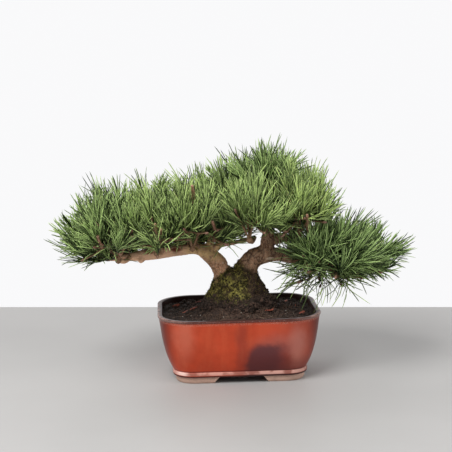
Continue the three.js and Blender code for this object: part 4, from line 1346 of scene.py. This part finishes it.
def along_shoot(foot, bend, tip, share):
    """Point and course at `share` of each shoot's curve, (1-s)^2 foot + 2s(1-s) bend
    + s^2 tip."""
    point = (1 - share) ** 2 * foot + 2 * share * (1 - share) * bend + share**2 * tip
    course = (1 - share) * (bend - foot) + share * (tip - bend)
    return point, unit(course)


def twigs_of(name, look):
    """The knuckle of a spray and its twigs."""
    shoots = (row[:, None] for row in shoots_of(name, look.side_shoots))
    path, _ = along_shoot(*shoots, np.linspace(0, 1, 9)[None, :, None])
    radius = np.linspace(0.0017, 0.0011, 9)[None] * np.ones((len(path), 1))
    radius[SHOOTS:] *= 0.72
    points, quads, faces = tubes(path, radius, 7)
    points = points + 0.0003 * noise(points, 0.0024, SPRAY_NAMES.index(name))[:, None]
    lump = curve_through(KNUCKLE, 12)
    knuckle = tubes(hub_of(name) + lump[None, :, :1] * (0, 0, 1), lump[:, 1], 12)
    return together((points, quads, faces), knuckle)


def make_twigs(look):
    """One piece for each spray, all with the same bark."""
    bark = plain_material("twig_bark")
    for name in SPRAYS:
        add_piece(new_mesh("twigs_" + name, *twigs_of(name, look)), bark)


def make_buds(look):
    """Winter buds at the ends of the shoots: spindles whose radius is a power of the sine of
    how far along they are. Then the long bare shoots, as wavy cones. Noise presses both in
    between their scales."""
    ends = [along_shoot(*shoots_of(name, look.side_shoots), 1.0) for name in SPRAYS]
    ends, ways = (np.concatenate(part)[:, None] for part in zip(*ends))
    draw = np.random.default_rng(9)
    size = draw.uniform(0.006, 0.012, (len(ends), 1, 1))
    paths = ends + size * (np.linspace(0, 1, 8)[None, :, None] - 0.12) * ways
    radius = 0.0021 * np.sin(np.pi * np.linspace(0.12, 0.97, 8)) ** 0.75
    points, quads, faces = tubes(paths, radius, 7, pointed=True)
    points = points + 0.00035 * noise(points, 0.0019, 4)[:, None]
    buds = new_mesh("winter_buds", points, quads, faces)
    add_piece(buds, plain_material("winter_bud"))

    share = np.linspace(0, 1, 24)[None, :, None]
    foot, tip = (row[:, None] for row in CANDLES.transpose(1, 0, 2))
    paths = mix(foot, tip, share) + 0.0016 * np.sin(np.pi * share) * draw.normal(0, 1, foot.shape)
    radius = np.append(np.linspace(0.0029, 0.0022, 23), 0)
    points, quads, faces = tubes(paths, radius, 9, pointed=True)
    points = points + 0.0006 * noise(points, 0.0024, 14)[:, None]
    candles = new_mesh("candles", points, quads, faces)
    add_piece(candles, plain_material("candle_bud"))


NEEDLE_RINGS = np.array([0.0, 0.34, 0.66, 0.93, 1.0])  # how far along its rings and tip lie
NEEDLE_GIRTH = np.array([0.8, 1.0, 1.0, 0.8, 0.0])
NEEDLE_SIDES = 3
NEEDLE_FLAT = 0.62
OPENING = (58, 10)  # degrees between the shoot and its lowest and its top needles
OPENING_SPREAD = 12
PAIR_APART = (2, 10)  # degrees that each needle of a pair turns to its side
LENGTHS = (0.76, 1.14)  # shortest and longest needle, as a share of a middling one
BACK_BEND = (0.10, 0.30)  # middle and spread of how far a needle bends towards the shoot's course
SIDE_BEND = 0.26


def needles_of(name, look):
    """Paths of a spray's needles, and the tint of each. They stand in pairs round the leafy
    end of each shoot by the golden angle. The lowest open widest and the top ones close up to
    the bud. The spray's pull turns them, mostly up to the light, and keeps all but a few from
    hanging. Each one bends with the square of how far along it is, partly with its shoot."""
    index = SPRAY_NAMES.index(name)
    spray = SPRAYS[name]
    draw = np.random.default_rng(100 + index)
    foot, bend, tip = (row[:, None] for row in shoots_of(name, look.side_shoots))
    count = len(foot)
    pairs = round(look.pairs * spray.full)
    i = np.arange(pairs)[None]
    seed = 10 * index + np.arange(count)[:, None]
    size = np.linalg.norm(tip - foot, axis=-1)
    leafy = np.clip(1.6 * LEAFY / size, 0, 0.85)
    share = (i + 0.5) / pairs
    base, course = along_shoot(foot, bend, tip, (1 - leafy * (1 - share))[..., None])
    share = share[..., None, None]
    least = np.eye(3)[np.abs(course[:, -1]).argmin(-1)][:, None]
    right = unit(np.cross(course, least))
    front = np.cross(course, right)
    turn = (i * GOLDEN + 1.7 * seed)[..., None]
    side = (np.cos(turn) * right + np.sin(turn) * front)[:, :, None]
    other = (np.cos(turn) * front - np.sin(turn) * right)[:, :, None]
    course = course[:, :, None]

    shape = (count, pairs, 2, 1)
    of_shoot = (count, 1, 1, 1)
    angle = np.radians(mix(*OPENING, share) + draw.uniform(-OPENING_SPREAD, OPENING_SPREAD, shape))
    apart = np.array([[-1], [1]]) * np.radians(draw.uniform(*PAIR_APART, shape))
    length = look.length * draw.uniform(*LENGTHS, shape) * mix(0.9, 1.04, share)
    out = side * np.cos(apart) + other * np.sin(apart)
    way = course * np.cos(angle) + out * np.sin(angle)
    felt = np.append(np.ones(SHOOTS + look.side_shoots), sprigs_of(name)[2]).reshape(of_shoot)
    strength = draw.uniform(0.5, 1.3, of_shoot) * draw.uniform(0.7, 1.3, shape)
    way = unit(way + strength * felt * mix(LOW_PULL, 1.15, share) * spray.pull)
    lowest = STEEPEST + HELD * min(spray.pull[2], MOST_HELD)
    free = (draw.uniform(0, 1, shape) < STRAYS) | (felt < UNHELD)
    way[..., 2:] = np.maximum(way[..., 2:], np.where(free, -1, lowest))
    way = unit(way)
    back = course - way * (way * course).sum(-1, keepdims=True)
    arc = draw.normal(*BACK_BEND, shape) * back + draw.normal(0, SIDE_BEND, shape) * other
    sway = draw.normal(0, SWAY, (count, 1, 1, 3))
    sway[..., 2] = np.abs(sway[..., 2])
    arc = (arc + sway) * (1 + max(0, 0.6 - spray.full) * LOOSE)
    s = NEEDLE_RINGS[:, None]
    paths = (length * way)[..., None, :] * s + (length * arc)[..., None, :] * s * s
    paths = base[:, :, None, None] + paths
    shoot_tint = draw.uniform(0, 1, of_shoot)
    tint = 0.8 * draw.uniform(0, 1, shape) + 0.2 * shoot_tint
    return paths.reshape(-1, len(NEEDLE_RINGS), 3), tint.ravel()


def make_needles(look):
    """A pointed three-sided tube for each needle, painted with how far along it a point lies,
    the needle's tint and the spray's tone."""
    material = needle_material(look)
    along = np.append(np.repeat(NEEDLE_RINGS[:-1], NEEDLE_SIDES), 1)
    for index, (name, spray) in enumerate(SPRAYS.items()):
        paths, tint = needles_of(name, look)
        count = len(paths)
        draw = np.random.default_rng(300 + index)
        girth = look.width * NEEDLE_GIRTH * draw.uniform(0.85, 1.15, (count, 1))
        roll = draw.uniform(0, 2 * np.pi, count)
        shape = tubes(paths, girth, NEEDLE_SIDES, NEEDLE_FLAT, roll, pointed=True)
        mesh = new_mesh("needles_" + name, *shape)
        tints = np.repeat(tint, len(along))
        paint(mesh, "needle", np.tile(along, count), tints, np.full(len(tints), spray.tone))
        add_piece(mesh, material, "spray_" + name)


# ---------------------------------------------------------------- stage

CAMERA_PLACE = (-0.1143, -1.8309, 0.5222)  # from the middle of the pot
CAMERA_TURN = math.radians(-3.07)
CAMERA_DIP = math.radians(9.03)
CAMERA_ROLL = math.radians(0.96)
FLOOR_REACH = 3.0
FLOOR_BACK = 0.448  # where the floor ends behind the pot
FLOOR_SLANT = 0.1285  # how much nearer its back edge comes, for each metre to the right


def stand(data, place, right, back):
    """Puts a light or camera at `place`, with its right hand to `right` and its back to
    `back`."""
    made = bpy.data.objects.new(data.name, data)
    turned = np.eye(4)
    turned[:3] = np.column_stack([right, np.cross(back, right), back, place])
    made.matrix_world = Matrix(turned.tolist())
    bpy.context.scene.collection.objects.link(made)
    return made


def window(name, place, aim, size, power):
    """A soft square light that faces the tree."""
    light = bpy.data.lights.new(name, "AREA")
    light.size = size
    light.energy = power
    way = unit(np.array(aim, float) - np.array(place))
    stand(light, place, unit(np.cross(way, (0, 0, 1))), -way)


def make_camera(lens):
    """Looks along the turn and dip, with the roll about the line of sight."""
    camera = bpy.data.cameras.new("camera")
    camera.sensor_width = 36
    camera.lens = lens
    camera.clip_start, camera.clip_end = 0.05, 20
    sine, cosine = math.sin(CAMERA_TURN), math.cos(CAMERA_TURN)
    level = np.array([cosine, sine, 0])
    ahead = np.array([-sine * math.cos(CAMERA_DIP), cosine * math.cos(CAMERA_DIP),
                      -math.sin(CAMERA_DIP)])
    right = level * math.cos(CAMERA_ROLL) - np.cross(level, ahead) * math.sin(CAMERA_ROLL)
    bpy.context.scene.camera = stand(camera, CAMERA_PLACE + MIDDLE, right, -ahead)


def make_sky(look):
    """Light from all sides, as bright behind the tree as a white wall, and dimmer in front."""
    n = Nodes(bpy.data.worlds.new("even_sky"))
    way = n.add("TexCoord").outputs["Generated"]
    ahead = n.add("SeparateXYZ", {0: way}).outputs[1]
    strength = n.add("MapRange", {
        "Value": ahead, "From Min": -0.3, "From Max": 0.7, "To Min": look.room,
        "To Max": look.sky}, interpolation_type="SMOOTHSTEP")
    light = n.add("Background", {"Color": (0.99, 0.99, 1.0), "Strength": strength.outputs[0]})
    n.add("OutputWorld", {0: light.outputs[0]})
    return n.owner


def make_floor(look):
    """One plain quad, whose back edge slants."""
    reach, slant = FLOOR_REACH, FLOOR_SLANT * FLOOR_REACH
    points = [(-reach, -reach, 0), (reach, -reach, 0), (reach, FLOOR_BACK - slant, 0),
              (-reach, FLOOR_BACK + slant, 0)]
    mesh = new_mesh("floor", points, np.array([[0, 1, 2, 3]]), NO_FACES)
    n = nodes_of("plain_floor")
    colour = n.layers(look.floor, (n.noise(3, 3, 0.5), 0.3, 0.7, 1, dimmed(look.floor, 0.93)))
    mesh.materials.append(n.finish(colour, 0.55))
    floor = bpy.data.objects.new("floor", mesh)
    bpy.context.scene.collection.objects.link(floor)


def set_stage(look):
    """Sky, floor, two soft windows and the camera."""
    bpy.context.scene.view_settings.view_transform = "Standard"
    bpy.context.scene.world = make_sky(look)
    make_floor(look)
    window("key_window", (-1.1, -1.4, 2.1), (0, 0, 0.2), 1.4, look.key)
    window("right_window", (1.9, -1.2, 1.1), (0, 0, 0.15), 1.2, look.key * 0.25)
    make_camera(look.lens)


# ---------------------------------------------------------------- operators and panel


class MakePot(bpy.types.Operator):
    """Build the glazed pot and its bare clay feet"""

    bl_idname = "bonsai.make_pot"
    bl_label = "Pot"

    def execute(self, context):
        make_pot(context.scene.bonsai_pot)
        return {"FINISHED"}


class DressScreens(bpy.types.Operator):
    """Give the net over each drain hole its plastic"""

    bl_idname = "bonsai.dress_screens"
    bl_label = "Drain screens"

    def execute(self, context):
        dress_screens()
        return {"FINISHED"}


class MakeSoil(bpy.types.Operator):
    """Fill the pot with soil"""

    bl_idname = "bonsai.make_soil"
    bl_label = "Soil"

    def execute(self, context):
        make_soil_bed(context.scene.bonsai_soil)
        return {"FINISHED"}


class MakeLitter(bpy.types.Operator):
    """Scatter crumbs, perlite, bark bits, root fibres and old needles on the soil"""

    bl_idname = "bonsai.make_litter"
    bl_label = "Litter on the soil"

    def execute(self, context):
        make_litter(context.scene.bonsai_soil)
        return {"FINISHED"}


class MakeTrunk(bpy.types.Operator):
    """Grow the trunks and branches and carve their bark"""

    bl_idname = "bonsai.make_trunk"
    bl_label = "Trunk and branches"

    def execute(self, context):
        make_trunk(context.scene.bonsai_wood)
        return {"FINISHED"}


class MakeMoss(bpy.types.Operator):
    """Plant moss on the lower trunk"""

    bl_idname = "bonsai.make_moss"
    bl_label = "Moss"

    def execute(self, context):
        make_moss(context.scene.bonsai_wood)
        return {"FINISHED"}


class MakeTwigs(bpy.types.Operator):
    """Grow the twigs of every spray, the buds at their ends and the long bare shoots"""

    bl_idname = "bonsai.make_twigs"
    bl_label = "Twigs and buds"

    def execute(self, context):
        make_twigs(context.scene.bonsai_needles)
        make_buds(context.scene.bonsai_needles)
        return {"FINISHED"}


class MakeNeedles(bpy.types.Operator):
    """Set needles in pairs round every shoot"""

    bl_idname = "bonsai.make_needles"
    bl_label = "Needles"

    def execute(self, context):
        make_needles(context.scene.bonsai_needles)
        return {"FINISHED"}


class SetStage(bpy.types.Operator):
    """Lay the floor and set the light and the camera"""

    bl_idname = "bonsai.set_stage"
    bl_label = "Floor, light and camera"

    def execute(self, context):
        set_stage(context.scene.bonsai_stage)
        return {"FINISHED"}


OPERATORS = (
    SetStage, MakePot, DressScreens, MakeSoil, MakeLitter, MakeTrunk, MakeMoss, MakeTwigs,
    MakeNeedles,
)


class BonsaiPanel(bpy.types.Panel):
    """Lists the pieces of the tree in the order in which they are made."""

    bl_idname = "VIEW3D_PT_bonsai"
    bl_label = "Potted bonsai pine"
    bl_space_type = "VIEW_3D"
    bl_region_type = "UI"
    bl_category = "Bonsai"

    def draw(self, context):
        for name, look in LOOKS.items():
            box = self.layout.box()
            box.label(text=look.__doc__)
            for prop in look.__annotations__:
                box.prop(getattr(context.scene, name), prop)
        for operator in OPERATORS:
            self.layout.operator(operator.bl_idname)


def register():
    for kind in (*LOOKS.values(), *OPERATORS, BonsaiPanel):
        bpy.utils.register_class(kind)
    for name, look in LOOKS.items():
        setattr(bpy.types.Scene, name, PointerProperty(type=look))


def unregister():
    for name in LOOKS:
        delattr(bpy.types.Scene, name)
    for kind in reversed((*LOOKS.values(), *OPERATORS, BonsaiPanel)):
        bpy.utils.unregister_class(kind)


def main():
    register()
    for operator in OPERATORS:
        group, name = operator.bl_idname.split(".")
        getattr(getattr(bpy.ops, group), name)()
    bpy.context.view_layer.update()


if __name__ == "__main__":
    main()
